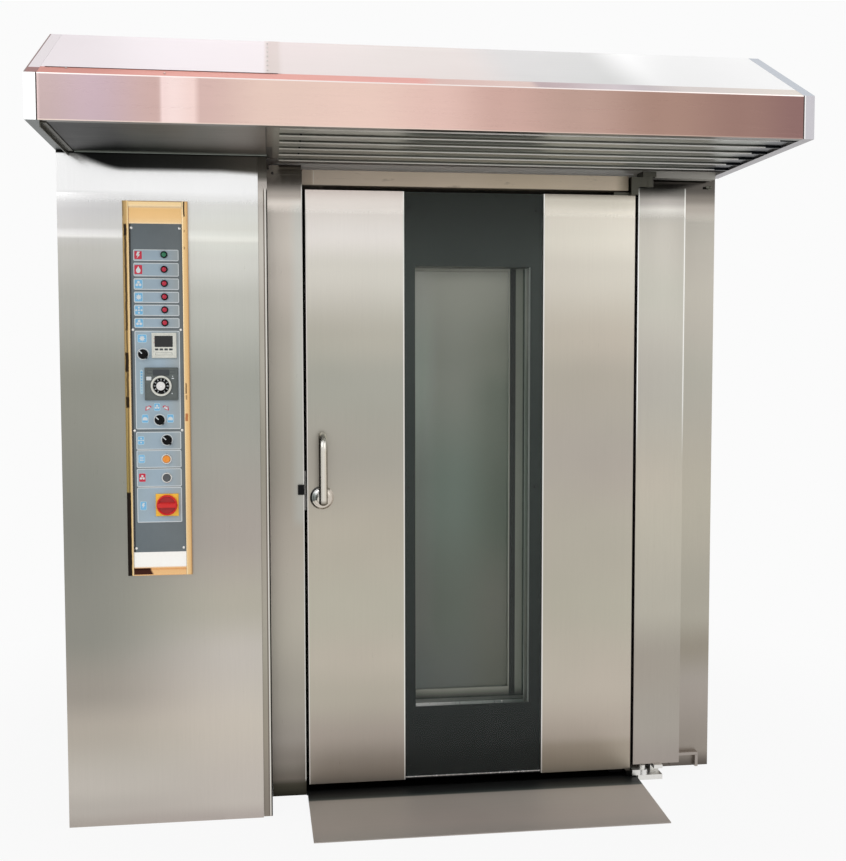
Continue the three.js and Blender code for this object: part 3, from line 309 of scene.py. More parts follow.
cabinet = Box("cabinet_front_panel")
partition = Box("cabinet_partition")
stile = Box("left_stile")
left_leaf = Box("door_left_leaf")
right_leaf = Box("door_right_leaf")
glass = Box("door_outer_glass")
window = Box("door_window_frame")
cover = Box("cover_stile")
post = Box("right_front_post")
header = Box("door_header")
rail = Box("hood_back_plate")
fascia = Box("hood_fascia")
roof_left = Box("hood_roof_left")
roof_right = Box("hood_roof_right")
left_cap = Box("hood_left_end")
right_cap = Box("hood_right_end")
soffit = Box("hood_soffit")
grille = Box("baffle_grille")
trim = Box("gold_trim_frame")
plate = Box("control_plate")
ramp = Box("threshold_ramp")
handle = Box("door_handle")
rosette = Box("handle_rosette")

# ---------------------------------------------------------------- finishes of the sheet steel
FASCIA_TOP = fascia.bottom + 121 * MM
STILE_EDGE = left_leaf.left - 10 * MM  # the stile's front face ends here; its jamb goes on behind the door
HEADER_FOOT = 1.990  # the bright strip over the door ends here, above the gap
WINDOW_LEFT, WINDOW_RIGHT = glass.left + 36 * MM, glass.right - 42 * MM  # the window frame's clear opening
WINDOW_LOW, WINDOW_HIGH = glass.bottom + 233 * MM, glass.top - 236 * MM


def glossy_above(height, low=0.32, high=0.10):
    """Roughness that falls towards the hood, where the polish is still clean."""
    return lambda finish: finish.span("z", height - 0.03, height, low, high)


def leaning(start, left=0.02):
    """Sheet that leans out a little above a height, more at the cabinet's left edge."""

    def bulge(finish):
        slope = finish.span("x", cabinet.left + 0.02, cabinet.left + 0.19, left, 0.02, soft=True)
        return finish.math("MULTIPLY", finish.span("z", start, start + 0.15, 0.0, 0.15), slope)

    return bulge


HOOD_MIRROR = (2.048, 1.9975)  # height of the hood's painted mirror image at the cabinet's left side and beyond it


def cabinet_tone(finish):
    """Cabinet front: painted daylight falling off downwards, and a painted reflection of the hood's underside
    at the top.
    """
    left = finish.tones("z", [
        (0.00, 174, 165, 158), (0.05, 188, 180, 173), (0.12, 199, 191, 183), (0.30, 184, 176, 165),
        (0.42, 163, 156, 147), (0.60, 147, 145, 137), (0.95, 140, 141, 133), (1.35, 146, 147, 138),
        (1.60, 168, 169, 162), (1.759, 184, 184, 178), (1.793, 190, 190, 186), (1.799, 232, 231, 228),
        (1.812, 226, 225, 224), (1.828, 200, 200, 198), (1.877, 198), (1.900, 208), (1.922, 230),
        (1.940, 250), (2.05, 252)
    ])
    right = finish.tones("z", [
        (0.00, 180, 171, 165), (0.06, 198, 190, 182), (0.30, 204, 196, 184), (0.52, 199, 192, 184),
        (0.68, 184, 179, 166), (0.90, 173, 167, 159), (1.35, 164, 165, 157), (1.61, 192, 193, 185),
        (1.735, 216, 216, 209), (1.781, 224, 225, 217), (1.787, 226, 226, 218), (1.796, 244, 244, 236),
        (1.811, 234, 235, 227), (1.826, 228, 228, 220), (1.871, 232, 233, 227), (1.898, 238, 238, 234),
        (1.918, 244, 244, 243), (1.940, 250), (2.05, 252)
    ])
    tone = finish.mix(finish.span("x", cabinet.left + 0.05, cabinet.right - 0.05, soft=True), left, right)
    # painted reflection of the hood's underside, its lower edge falling from left to right
    fall = finish.span("x", cabinet.left + 0.004, cabinet.left + 0.199, *HOOD_MIRROR, soft=True)
    edge = finish.math("SUBTRACT", fall, finish.span("x", cabinet.right - 0.11, cabinet.right, 0.0, 0.007))
    height = finish.math("SUBTRACT", finish.place()["z"], edge)
    mirrored = finish.span(height, -0.007, 0.012, soft=True)
    hood = finish.tones("x", [
        (cabinet.left, 36, 37, 37), (cabinet.right - 0.2, 62, 62, 60), (cabinet.right, 92, 90, 84)
    ])
    tone = finish.mix(mirrored, tone, hood)
    # painted shade: a dark line just under the cabinet's top edge, beneath the hood
    return finish.over(tone, (12, 12, 11), finish.span("z", cabinet.top - 0.008, cabinet.top - 0.005))


def partition_tone(finish):
    """Wall's front edge between cabinet and stile: painted shade under the hood; beside the stile a painted
    highlight line and painted lines of shade.
    """
    tone = finish.tones("z", [
        (0.00, 136, 128, 119), (0.29, 156, 149, 136), (0.65, 172, 166, 154), (1.13, 158, 153, 141),
        (1.50, 182, 177, 166), (1.80, 206, 201, 192), (1.93, 200, 194, 187), (1.968, 176, 170, 164),
        (1.985, 92, 89, 83), (2.05, 76, 74, 68)
    ])
    below = finish.zone("z", 0.0, 1.95, 0.01)
    # beside the stile: a painted highlight line, a painted dark line, and the gap's painted shade
    lines = ((-7.5, -4.5, (226, 223, 217)), (-12, -8.5, (120, 112, 104)), (-3, 10, (16, 15, 14)))
    for low, high, shade in lines:
        line = finish.zone("x", partition.right + low * MM, partition.right + high * MM)
        tone = finish.over(tone, shade, line, below)
    return tone


def stile_tone(finish):
    """Left stile: a painted cool reflection down its right half, the hood's painted shadow above and the
    floor's below.
    """
    warm = finish.tones("z", [
        (0.00, 34, 33, 26), (0.035, 60, 57, 48), (0.06, 112, 105, 97), (0.12, 138, 131, 123),
        (0.20, 158, 151, 143), (0.33, 168, 161, 151), (0.58, 186, 179, 167), (1.10, 168, 162, 151),
        (1.50, 182, 176, 165), (1.70, 202, 194, 184), (1.82, 218, 210, 200), (1.93, 226, 217, 208),
        (1.955, 176, 168, 160), (1.985, 132, 126, 120), (2.00, 122, 116, 110), (2.05, 122, 115, 106)
    ])
    cool = finish.tones("z", [
        (0.0, 150, 152, 146), (1.2, 184, 185, 178), (1.6, 202, 203, 196), (2.0, 224, 225, 219)
    ])
    share = finish.math(
        "MULTIPLY", finish.span("x", STILE_EDGE - 0.05, STILE_EDGE - 0.01, 0.0, 0.75, soft=True),
        finish.zone("z", 0.9, 1.93, 0.04)
    )
    tone = finish.mix(share, warm, cool)
    # painted highlight along the stile's edge beside the door
    arris = finish.zone("x", STILE_EDGE - 0.003, STILE_EDGE + 0.01)
    tone = finish.over(tone, (214, 212, 206), arris, finish.zone("z", 0.05, 1.99, 0.01))
    # painted shade: the jamb's top corner and the stile's side face in the gap are painted black
    corner = finish.zone("x", STILE_EDGE + 0.0005, STILE_EDGE + 0.0115)
    tone = finish.over(tone, (6, 6, 6), corner, finish.zone("z", 1.96, 2.06))
    return finish.over(tone, (6, 6, 6), finish.side("x", 1))


def door_tone(finish):
    """Door skins: warm grey with painted light, brightest near the top; painted highlights on the arrises,
    painted shade on the right edge and the sides.
    """
    left = finish.tones("z", [
        (0.03, 150, 142, 132), (0.10, 164, 155, 145), (0.20, 174, 164, 154), (0.33, 184, 176, 163),
        (0.45, 193, 184, 171), (0.60, 189, 183, 169), (0.85, 184, 178, 164), (1.12, 172, 167, 157),
        (1.37, 173, 171, 161), (1.50, 184, 181, 169), (1.73, 220, 216, 206), (1.84, 246, 240, 234),
        (1.90, 250, 243, 236), (1.93, 232, 224, 217), (1.98, 216, 204, 197)
    ])
    right = finish.tones("z", [
        (0.03, 160, 152, 138), (0.12, 166, 157, 143), (0.16, 178, 169, 157), (0.33, 189, 181, 168),
        (0.60, 184, 178, 164), (0.85, 182, 176, 163), (1.12, 176, 170, 160), (1.37, 178, 172, 160),
        (1.50, 188, 181, 168), (1.73, 210, 204, 192), (1.84, 228, 222, 209), (1.90, 236, 229, 216),
        (1.955, 206, 199, 186), (1.98, 140, 132, 122)
    ])
    tone = finish.mix(finish.span("x", left_leaf.right, right_leaf.left), left, right)
    # painted highlights along the leaves' edges
    for low, high, shade in (
        (left_leaf.left - 0.01, left_leaf.left + 0.003, (222, 217, 210)),
        (left_leaf.right - 0.0035, left_leaf.right + 0.01, (240, 238, 232)),
        (right_leaf.left - 0.01, right_leaf.left + 0.0035, (240, 238, 232))
    ):
        tone = finish.over(tone, shade, finish.zone("x", low, high))
    # painted shade: the right edge and the sides in the gaps are dark
    tone = finish.over(
        tone, (12, 10, 9), finish.zone("x", right_leaf.right - 0.003, right_leaf.right + 0.01, 0.0008)
    )
    free_end = finish.zone("x", left_leaf.left - 0.01, window.left)
    hinge_end = finish.zone("x", window.right, right_leaf.right + 0.01)
    tone = finish.over(tone, (8, 8, 8), finish.side("x", -1), free_end)
    return finish.over(tone, (40, 30, 26), finish.side("x", 1), hinge_end)


def cover_tone(finish):
    """Cover stile: painted shadow of the hood at its head, fading to the right near the top, with a painted
    highlight down each side.
    """
    tone = finish.tones("z", [
        (0.05, 160, 153, 146), (0.18, 167, 162, 153), (0.42, 165, 158, 148), (0.60, 183, 177, 165),
        (0.97, 190, 184, 170), (1.36, 180, 176, 167), (1.63, 190, 187, 177), (1.88, 198, 193, 184),
        (1.925, 196, 192, 186), (1.955, 158, 153, 148), (1.985, 96, 93, 89), (2.00, 70, 69, 65)
    ])
    fade = finish.span("x", cover.x, cover.right, 1.0, 0.84, soft=True)
    share = finish.span("z", 1.5, 1.85)
    fade = finish.math("ADD", finish.math("MULTIPLY", fade, share), finish.math("SUBTRACT", 1.0, share))
    tone = finish.mix(1.0, tone, fade, "MULTIPLY")
    # painted highlights down both side edges
    upper = finish.zone("z", 1.2, 1.96, 0.2)
    left = finish.zone("x", cover.left - 10 * MM, cover.left + 4 * MM)
    right = finish.zone("x", cover.right - 4 * MM, cover.right + 10 * MM)
    tone = finish.over(tone, (240, 240, 236), left, upper)
    return finish.over(tone, (232, 231, 226), right, upper)


# Right-hand strip: painted shade near the floor and a painted shadow of the hood at its head
STRIP_TONES = [
    (0.00, 96, 90, 84), (0.06, 150, 143, 134), (0.30, 165, 158, 150), (0.42, 154, 146, 134),
    (0.55, 173, 167, 155), (0.97, 184, 178, 164), (1.36, 173, 169, 159), (1.65, 178, 173, 163),
    (1.80, 172, 167, 158), (1.90, 166, 161, 153), (1.95, 144, 137, 130), (1.98, 108, 102, 96),
    (2.01, 70, 66, 62), (2.05, 66, 62, 58)
]


def cap_tone(front, slope, under, at_left):
    """Hood's end cap: front, slope and underside painted with different reflections; a painted dark line of
    shade beside the fascia.
    """

    def tone(finish):
        inner_side = left_cap.right if at_left else right_cap.left
        ahead, above, below = finish.side("y", -1), finish.side("z", 1, 0.3), finish.side("z", -1, 0.3)
        shade = finish.over(flat_tone(*front)(finish), slope, above)
        shade = finish.over(shade, under, below)
        line = finish.zone("x", inner_side - 3.2 * MM, inner_side + 3.2 * MM, 0.4 * MM)
        shade = finish.over(shade, (66, 58, 56), line, ahead)
        # the right cap also gets a painted highlight line beside the fascia
        if not at_left:
            line = finish.zone("x", inner_side + 3.5 * MM, inner_side + 6.5 * MM, 0.4 * MM)
            return finish.over(shade, (214, 213, 212), line, ahead)
        foot = finish.zone("z", FASCIA_TOP - 10 * MM, FASCIA_TOP + 24 * MM)
        shade = finish.over(shade, (140, 72, 66), foot, above)
        rim = finish.zone("x", left_cap.left - 10 * MM, left_cap.left + 4 * MM, 0.5 * MM)
        return finish.over(shade, (120, 84, 80), rim, above)

    return tone


def roof_tone(finish):
    """Hood's roof: a pinkish white sheet, then a dull lap at the seam, and white again at the right."""
    return finish.tones("x", [
        (roof_left.left, 238, 229, 233), (roof_left.x, 234, 225, 229),
        (roof_left.right - 0.009, 232, 223, 226), (roof_left.right - 0.006, 226, 214, 214),
        (roof_left.right + 0.003, 208, 192, 188), (roof_left.right + 0.036, 210, 195, 191),
        (roof_left.right + 0.041, 221, 208, 207), (roof_right.x - 0.20, 212, 202, 199),
        (roof_right.x - 0.02, 199, 198, 198), (roof_right.x + 0.20, 196), (roof_right.x + 0.36, 240),
        (roof_right.right, 250)
    ])


def fascia_tone(finish):
    """Hood's front: rose steel that darkens to the right, with a paler band; a painted lit flange on top,
    painted highlights along both edges, painted shade below.
    """
    face = finish.tones("x", [
        (-1.045, 212, 188, 186), (-1.037, 178, 156, 156), (-0.900, 187, 164, 172), (-0.737, 198, 167, 162),
        (-0.729, 236, 210, 207), (-0.700, 240, 216, 212), (-0.642, 238, 210, 204), (-0.634, 210, 178, 172),
        (-0.440, 232, 202, 190), (-0.200, 236, 204, 192), (0.000, 230, 194, 184), (0.175, 207, 171, 161),
        (0.400, 184, 154, 143), (0.630, 158, 128, 116), (0.870, 136, 107, 99), (1.040, 122, 93, 90)
    ])
    flange = finish.tones("x", [
        (-1.045, 206, 120, 104), (-0.60, 212, 128, 112), (-0.05, 204, 126, 114), (0.02, 190, 150, 140),
        (0.26, 190, 160, 150), (0.29, 150, 122, 126), (0.56, 178, 166, 172), (0.72, 212, 202, 198),
        (1.040, 226, 216, 206)
    ])
    tone = finish.mix(finish.side("z", 1), face, flange)
    # painted highlights along the top and bottom edges
    tone = finish.over(
        tone, (250, 240, 236), finish.zone("z", FASCIA_TOP - 0.0026, FASCIA_TOP + 0.0006, 0.0005)
    )
    tone = finish.over(
        tone, (232, 212, 200), finish.zone("z", fascia.bottom - 0.001, fascia.bottom + 0.0028, 0.0006),
        finish.span("x", -0.2, 0.9, 0.7, 0.15)
    )
    # painted shade on the underside
    return finish.over(tone, (96, 90, 82), finish.side("z", -1))


def soffit_tone(finish):
    """Hood's underside over the cabinet: painted shade, black in the left corner, then mottled grey; a
    painted highlight along the rear edge.
    """
    tone = finish.tones("x", [
        (soffit.left, 8), (soffit.left + 0.042, 8), (soffit.left + 0.052, 26, 28, 28),
        (soffit.left + 0.15, 32, 34, 33), (soffit.left + 0.24, 72, 74, 67),
        (soffit.left + 0.40, 108, 104, 96), (soffit.right - 0.06, 134, 125, 118),
        (soffit.right - 0.004, 136, 127, 120), (soffit.right, 20, 20, 19)
    ])
    # painted highlight along the rear edge over the cabinet
    rear = finish.zone("y", cabinet.front - 0.012, cabinet.front + 0.02, 0.001)
    beyond = finish.span("x", soffit.left + 0.012, soffit.left + 0.03)
    return finish.over(tone, (150, 149, 142), rear, beyond)


def grille_tone(finish):
    """Slats with painted reflections of the floor and each other; painted shade over the last stretch before
    the right cap and in the left corner.
    """
    tone = finish.tones("x", [
        (grille.left, 118, 109, 98), (grille.left + 0.034, 118, 110, 99),
        (grille.left + 0.038, 138, 138, 129), (grille.x, 160, 162, 152),
        (grille.right - 0.30, 162, 163, 155), (grille.right - 0.10, 130, 132, 125),
        (grille.right - 0.055, 70, 74, 72), (grille.right - 0.047, 34, 38, 44), (grille.right, 30, 34, 40)
    ])
    # painted shade in the left corner
    corner = finish.zone("x", grille.left - 0.01, grille.left + 0.036)
    return finish.over(tone, (14, 15, 14), corner, finish.span("y", -0.70, -0.68))


def ramp_tone(finish):
    """Ramp sheet: light on top, with a painted dark reflection and shadow of the door along its rear edge."""
    return finish.tones("y", [
        (ramp.front, 170, 162, 156), (ramp.front + 0.10, 180, 170, 163), (ramp.front + 0.26, 182, 174, 166),
        (ramp.back - 0.088, 176, 168, 160), (ramp.back - 0.076, 66, 72, 69),
        (ramp.back - 0.055, 26, 31, 30), (ramp.back - 0.035, 12, 14, 14), (ramp.back, 6, 7, 7)
    ])


clean = glossy_above(1.93)
lean = leaning(1.90)
cabinet_steel = brushed(
    "cabinet_steel", "stainless_steel", cabinet_tone, roughness=clean, bulge=leaning(1.93, 0.06)
)
frame_steel = brushed("frame_steel", "stainless_steel", stile_tone, roughness=clean, bulge=lean)
partition_steel = brushed("partition_steel", "stainless_steel", partition_tone, roughness=clean, bulge=lean)
door_steel = brushed("door_steel", "door_steel", door_tone, roughness=clean, bulge=lean)
cover_steel = brushed("cover_steel", "stainless_steel", cover_tone, roughness=clean, bulge=lean)
strip_steel = brushed("strip_steel", "stainless_steel", along("z", STRIP_TONES), roughness=clean, bulge=lean)


def header_tone(finish):
    """Strip over the door, dull and stained; the lintel behind the gap under it is painted black as the gap's
    shade.
    """
    tone = finish.tones("x", [
        (header.left, 176, 162, 146), (header.left + 0.03, 188, 172, 154),
        (header.left + 0.035, 214, 198, 180), (header.x - 0.1, 226, 208, 186),
        (header.x + 0.2, 220, 202, 178), (header.right - 0.05, 226, 208, 186), (header.right, 150, 136, 118)
    ])
    stain = finish.span(finish.noise(14, (1, 1, 3), detail=4.0), 0.62, 0.72, 0.0, 0.35)
    tone = finish.over(tone, (120, 100, 82), stain)
    # painted shade: black below the strip's foot, in the gap over the door
    return finish.over(tone, (5, 5, 5), finish.span("z", HEADER_FOOT + 0.0005, HEADER_FOOT - 0.0005))


header_steel = brushed(
    "header_steel", "stainless_steel", header_tone, grain="x", roughness=0.3, cloud=0.08, metallic=0.15
)
rail_steel = brushed(
    "rail_steel", "stainless_steel",
    along("x", [
        (rail.left, 232, 226, 217), (header.x, 252, 246, 238), (header.right - 0.01, 252, 250, 244),
        (header.right + 0.01, 196, 192, 184)
    ]),
    grain="x", roughness=0.3, metallic=0.05
)
SIDE_JOINTS = (0.172, 0.552)  # between the panels of the side walls, in y
REAR_JOINTS = (-0.362, 0.358)  # between those of the rear wall and the roof, in x


def side_tone(finish):
    """Outer panels: a painted soft fall of light, and a dark joint with a painted highlight on the folded
    edge between two panels.
    """
    tone = finish.tones("z", [
        (0.0, 150, 145, 137), (0.6, 168, 163, 153), (1.4, 180, 176, 167), (2.2, 198, 195, 188)
    ])
    for axis, places in (("y", SIDE_JOINTS), ("x", REAR_JOINTS)):
        for at in places:
            # painted highlight on the folded edge beside each joint
            tone = finish.over(tone, (226, 224, 218), finish.zone(axis, at - 2 * MM, at + 4 * MM))
            tone = finish.over(tone, (40, 38, 36), finish.zone(axis, at - 1.2 * MM, at + 1.2 * MM))
    return tone


side_steel = brushed("side_steel", "stainless_steel", side_tone)
chamber_steel = brushed(
    "chamber_steel", "stainless_steel",
    along("z", [(0.0, 104, 100, 92), (0.9, 122, 118, 108), (2.1, 134, 130, 120)]), roughness=0.4, cloud=0.08
)
grille_steel = brushed("grille_steel", "stainless_steel", grille_tone, grain="x", roughness=0.3, streak=0.06)
# Painted highlight: bright white without metal for the lit lips and the weld
slat_lip_steel = brushed(
    "slat_lip_steel", "stainless_steel",
    along("x", [(grille.left, 222, 217, 206), (grille.x, 252, 250, 244), (grille.right, 252, 250, 246)]),
    grain="x", roughness=0.3, metallic=0.0
)
soffit_steel = brushed("soffit_steel", "dark_steel", soffit_tone, grain="x", roughness=0.45)
dark_steel = brushed("dark_steel", "dark_steel", flat_tone(96, 94, 86), roughness=0.42, cloud=0.1)
latch_steel = brushed("latch_steel", "dark_steel", flat_tone(126, 131, 122), roughness=0.3)


def sill_tone(finish):
    """Threshold and chamber floor: painted shade, black in the gap under the door; the pivot's block beside
    it painted near white, as bright as the floor.
    """
    tone = finish.tones("y", [(ramp.back, 14, 15, 14), (ramp.back + 0.25, 40, 40, 38), (1.0, 96, 94, 88)])
    # painted light: the pivot's block as bright as the white floor beside it
    block = finish.span("x", right_leaf.right + 0.014, right_leaf.right + 0.016)
    return finish.over(tone, (226, 225, 221), block, finish.span("y", post.front - 0.01, post.front - 0.03))


sill_steel = brushed("sill_steel", "dark_steel", sill_tone, roughness=0.4)
# Lower arm: painted shade, black under the door, and painted near white beyond it, as bright as the floor
arm_steel = brushed(
    "arm_steel", "dark_steel",
    along("x", [
        (right_leaf.right, 14, 14, 13), (right_leaf.right + 0.001, 222, 221, 217),
        (right_leaf.right + 0.1, 226)
    ])
)
ramp_steel = brushed(
    "ramp_steel", "ramp_steel", ramp_tone, grain="x", roughness=0.5, cloud=0.05, streak=0.05, metallic=0.2
)
pale_steel = brushed(
    "pale_steel", "pale_steel", roof_tone, grain="x", roughness=0.36, streak=0.012, cloud=0.012
)
left_cap_steel = brushed(
    "left_cap_steel", "pale_steel", cap_tone((242, 244, 244), (230, 221, 225), (24, 42, 38), at_left=True),
    roughness=0.3, streak=0.01, cloud=0.01
)
right_cap_steel = brushed(
    "right_cap_steel", "pale_steel",
    cap_tone((172, 170, 175), (186, 193, 203), (150, 146, 150), at_left=False), roughness=0.3, streak=0.01,
    cloud=0.01
)
rose_steel = brushed(
    "rose_steel", "rose_steel", fascia_tone, grain="x", roughness=0.3, streak=0.02, cloud=0.02
)

# ---------------------------------------------------------------- brass frame of the control panel
RAIL = 18 * MM
BOTTOM_RAIL = 24 * MM
TRAY_LOW, TRAY_HIGH = trim.bottom + BOTTOM_RAIL, trim.top - RAIL
TRAY_LEFT, TRAY_RIGHT = trim.left + RAIL, trim.right - RAIL
LEFT_STREAKS = [  # painted dark reflections on the left rail: heights, then millimetres from its left edge, share
    (0.770, 1.032, -3, 12.0, 1.0), (1.032, 1.288, 6.5, 9.5, 0.6), (1.288, 1.322, 2.5, 12.0, 0.97),
    (1.322, 1.396, 4.5, 11.5, 0.75), (1.396, 1.455, 2.5, 12.0, 0.97), (1.455, 1.520, 6.0, 10.5, 0.7),
    (1.520, 1.802, 5.0, 11.5, 0.85), (1.802, 1.838, 3.5, 12.0, 0.97), (1.862, 1.904, 1.0, 4.0, 0.35)
]
RIGHT_STREAKS = [  # the same on the right rail, with their colours
    (1.862, 1.906, 4.5, 9.0, 0.95, (44, 30, 14)), (1.815, 1.822, 5.0, 9.0, 0.5, (120, 84, 44)),
    (1.764, 1.772, 5.0, 9.0, 0.55, (110, 76, 36)), (1.330, 1.362, 4.5, 8.5, 0.85, (84, 56, 24)),
    (1.312, 1.326, 4.5, 9.5, 0.6, (100, 70, 34)), (1.247, 1.270, 3.0, 11.0, 0.8, (170, 92, 44))
]


def brass_tone(finish):
    """Polished brass with painted reflections of a dim room: the tray and each upright rail have their own
    tones.
    """
    place = finish.place()
    tray = finish.tones("z", [
        (trim.bottom, 240, 192, 136), (TRAY_LOW - 1.5 * MM, 236, 186, 130),
        (TRAY_LOW - 1 * MM, 150, 112, 70), (TRAY_LOW + 0.5 * MM, 255, 253, 248),
        (plate.bottom + 4 * MM, 255, 252, 246), (plate.top, 252, 224, 182),
        (plate.top + 4 * MM, 244, 206, 152), (plate.top + 22 * MM, 242, 198, 138),
        (TRAY_HIGH - 4 * MM, 238, 194, 132), (TRAY_HIGH - 1.5 * MM, 110, 76, 38),
        (TRAY_HIGH + 1 * MM, 252, 228, 188), (trim.top - 10 * MM, 250, 216, 160),
        (trim.top - 3 * MM, 252, 222, 170), (trim.top, 150, 120, 80)
    ])
    # painted dark reflection on the left part of the bottom rail
    strip = finish.zone("z", trim.bottom + 3 * MM, TRAY_LOW - 2.5 * MM, 0.8 * MM)
    slant = finish.math("ADD", place["x"], finish.math("MULTIPLY", place["z"], 0.5))
    dark_end = trim.left + trim.bottom / 2 + 77 * MM
    tray = finish.over(
        tray, (62, 28, 18), strip, finish.span(slant, dark_end - 3 * MM, dark_end + 3 * MM, 1.0, 0.0)
    )

    wander = finish.math("MULTIPLY", finish.math("SUBTRACT", finish.noise(60, (0.2, 1, 1)), 0.5), 4 * MM)
    x = finish.math("ADD", place["x"], wander)
    left = finish.tones("x", [
        (trim.left, 150, 126, 84), (trim.left + 5 * MM, 182, 154, 104),
        (trim.left + 11 * MM, 196, 162, 108), (trim.left + 13 * MM, 226, 190, 132),
        (trim.left + 16.4 * MM, 242, 216, 170), (TRAY_LEFT, 96, 70, 38)
    ])
    # painted greenish reflection on the lower left rail
    olive = finish.span("z", trim.bottom + 0.35, trim.bottom + 0.75, 0.75, 0.0)
    left = finish.over(left, (150, 132, 76), olive, finish.zone("x", trim.left - 0.01, trim.left + 12.5 * MM))
    for low, high, start, end, share in LEFT_STREAKS:
        streak = finish.zone(x, trim.left + start * MM, trim.left + end * MM, 0.8 * MM)
        run = finish.zone("z", low, high, 4 * MM)
        left = finish.over(left, (26, 17, 10), finish.math("MULTIPLY", streak, share), run)

    right = finish.tones("x", [
        (TRAY_RIGHT, 110, 80, 44), (TRAY_RIGHT + 1.5 * MM, 250, 228, 186),
        (TRAY_RIGHT + 4.5 * MM, 238, 200, 144), (trim.right - 5 * MM, 228, 186, 130),
        (trim.right - 2 * MM, 196, 158, 108), (trim.right, 168, 134, 92)
    ])
    for low, high, start, end, share, shade in RIGHT_STREAKS:
        streak = finish.zone(x, TRAY_RIGHT + start * MM, TRAY_RIGHT + end * MM, 0.8 * MM)
        run = finish.zone("z", low, high, 2.5 * MM)
        right = finish.over(right, shade, finish.math("MULTIPLY", streak, share), run)

    past_left = finish.span("x", TRAY_LEFT - 0.3 * MM, TRAY_LEFT + 0.3 * MM)
    past_right = finish.span("x", TRAY_RIGHT - 0.3 * MM, TRAY_RIGHT + 0.3 * MM)
    return finish.mix(past_right, finish.mix(past_left, left, tray), right)


brass = brushed(
    "brass", "brass_trim", brass_tone, roughness=0.16, streak=0.02, cloud=0.03, metallic=0.8, marks=0.3
)


# ---------------------------------------------------------------- handle
def handle_tone(finish):
    """Round tube with painted reflections: dark on its left flank, light on its front; a painted highlight
    near the top, painted shade at its foot.
    """
    facing = finish.facing(rounded=True)
    tone = finish.tones(facing["x"], [
        (-1.0, 122, 116, 106), (-0.66, 124, 118, 108), (-0.52, 196, 192, 182), (0.0, 214, 209, 199),
        (0.62, 206, 198, 184), (0.80, 140, 130, 114), (1.0, 128, 120, 106)
    ])
    # painted highlight near the top
    top = finish.span("z", handle.top - 0.06, handle.top - 0.02)
    lit = finish.span(facing["x"], -0.5, -0.3)
    tone = finish.over(tone, (244, 244, 240), finish.math("MULTIPLY", top, 0.6), lit)
    # painted shade at the foot, by the rosette
    foot = finish.span("z", rosette.z - 2 * MM, rosette.z - 14 * MM)
    return finish.over(tone, (112, 104, 92), foot)


def rosette_tone(finish):
    """Dished disc with painted reflections: a dark fan to the left, a bright one above it, the rest pale."""
    place = finish.place()
    rise = finish.math("SUBTRACT", place["z"], rosette.z)
    reach = finish.math("SUBTRACT", rosette.x, place["x"])
    turn = finish.math("ARCTAN2", rise, reach)  # 0 points left, positive upwards
    return finish.tones(turn, [
        (-3.15, 204, 194, 182), (-0.75, 210, 202, 190), (-0.42, 206, 200, 188), (-0.34, 104, 108, 104),
        (0.05, 118, 124, 120), (0.42, 150, 156, 152), (0.55, 214, 216, 214), (0.85, 244, 244, 242),
        (1.30, 232, 230, 224), (2.0, 214, 206, 194), (3.15, 204, 194, 182)
    ])


handle_steel = brushed("handle_steel", "handle_steel", handle_tone, roughness=0.2, streak=0.015, marks=0.3)
rosette_steel = brushed("rosette_steel", "handle_steel", rosette_tone, roughness=0.2, streak=0.02, marks=0.3)

# ---------------------------------------------------------------- other finishes
fastener_steel = brushed(
    "fastener_steel", "fastener_steel", flat_tone(224, 223, 220), roughness=0.25, marks=0.3
)
# Window ledge: painted light, lighter at its left end and in shade at its right
ledge_steel = brushed(
    "ledge_steel", "fastener_steel",
    along("x", [(WINDOW_LEFT, 176, 176, 174), (window.x, 128, 134, 130), (WINDOW_RIGHT, 66, 72, 68)]),
    roughness=0.3, marks=0.3
)
bead_steel = brushed("bead_steel", "fastener_steel", flat_tone(150, 156, 150), roughness=0.3, marks=0.3)
black_oxide = painted("black_oxide", "fastener_steel", (10, 10, 10), roughness=0.5)
# Control plate: its left 6 mm painted dark as the shadow of the brass rail
slate_paint = painted(
    "slate_paint", "slate_paint",
    along("x", [
        (plate.left, 10, 10, 12), (plate.left + 3 * MM, 26, 27, 32), (plate.left + 6 * MM, 104, 114, 119),
        (plate.right, 108, 116, 119)
    ]),
    roughness=0.5
)
row_paint = painted(
    "row_paint", "slate_paint",
    along("x", [(plate.left, 162, 180, 190), (plate.x, 164, 184, 198), (plate.right, 166, 174, 176)]),
    roughness=0.5, wear=0.04
)
print_white = painted("print_white", "printed_white", (222, 228, 230), roughness=0.5, wear=0.03)
print_pale_blue = painted("print_pale_blue", "printed_blue", (188, 218, 232), roughness=0.5, wear=0.03)
print_blue = painted("print_blue", "printed_blue", (120, 188, 230), roughness=0.45)
print_red = painted("print_red", "red_plastic", (206, 40, 66), roughness=0.45)
print_dark = painted("print_dark", "black_plastic", (56, 62, 66), roughness=0.5)
white_plastic = plastic("white_plastic", "white_plastic", (226, 226, 216))
black_plastic = plastic("black_plastic", "black_plastic", (6, 6, 7), roughness=0.45, Specular_IOR_Level=0.15)
timer_plastic = plastic("timer_plastic", "black_plastic", (92, 99, 97), roughness=0.42)
display_glass = plastic("display_glass", "black_plastic", (18, 20, 20), roughness=0.12, grain=0.002)
orange_plastic = plastic("orange_plastic", "orange_plastic", (248, 152, 48), roughness=0.3)
grey_plastic = plastic("grey_plastic", "black_plastic", (84, 86, 88), roughness=0.35)
yellow_plastic = plastic("yellow_plastic", "yellow_plastic", (254, 200, 62), roughness=0.35)
red_plastic = plastic("red_plastic", "red_plastic", (220, 26, 24), roughness=0.28)
deep_red_plastic = plastic("deep_red_plastic", "red_plastic", (170, 10, 18), roughness=0.3)
red_lens = plastic("red_lens", "red_plastic", (190, 22, 56), roughness=0.12, grain=0.004)
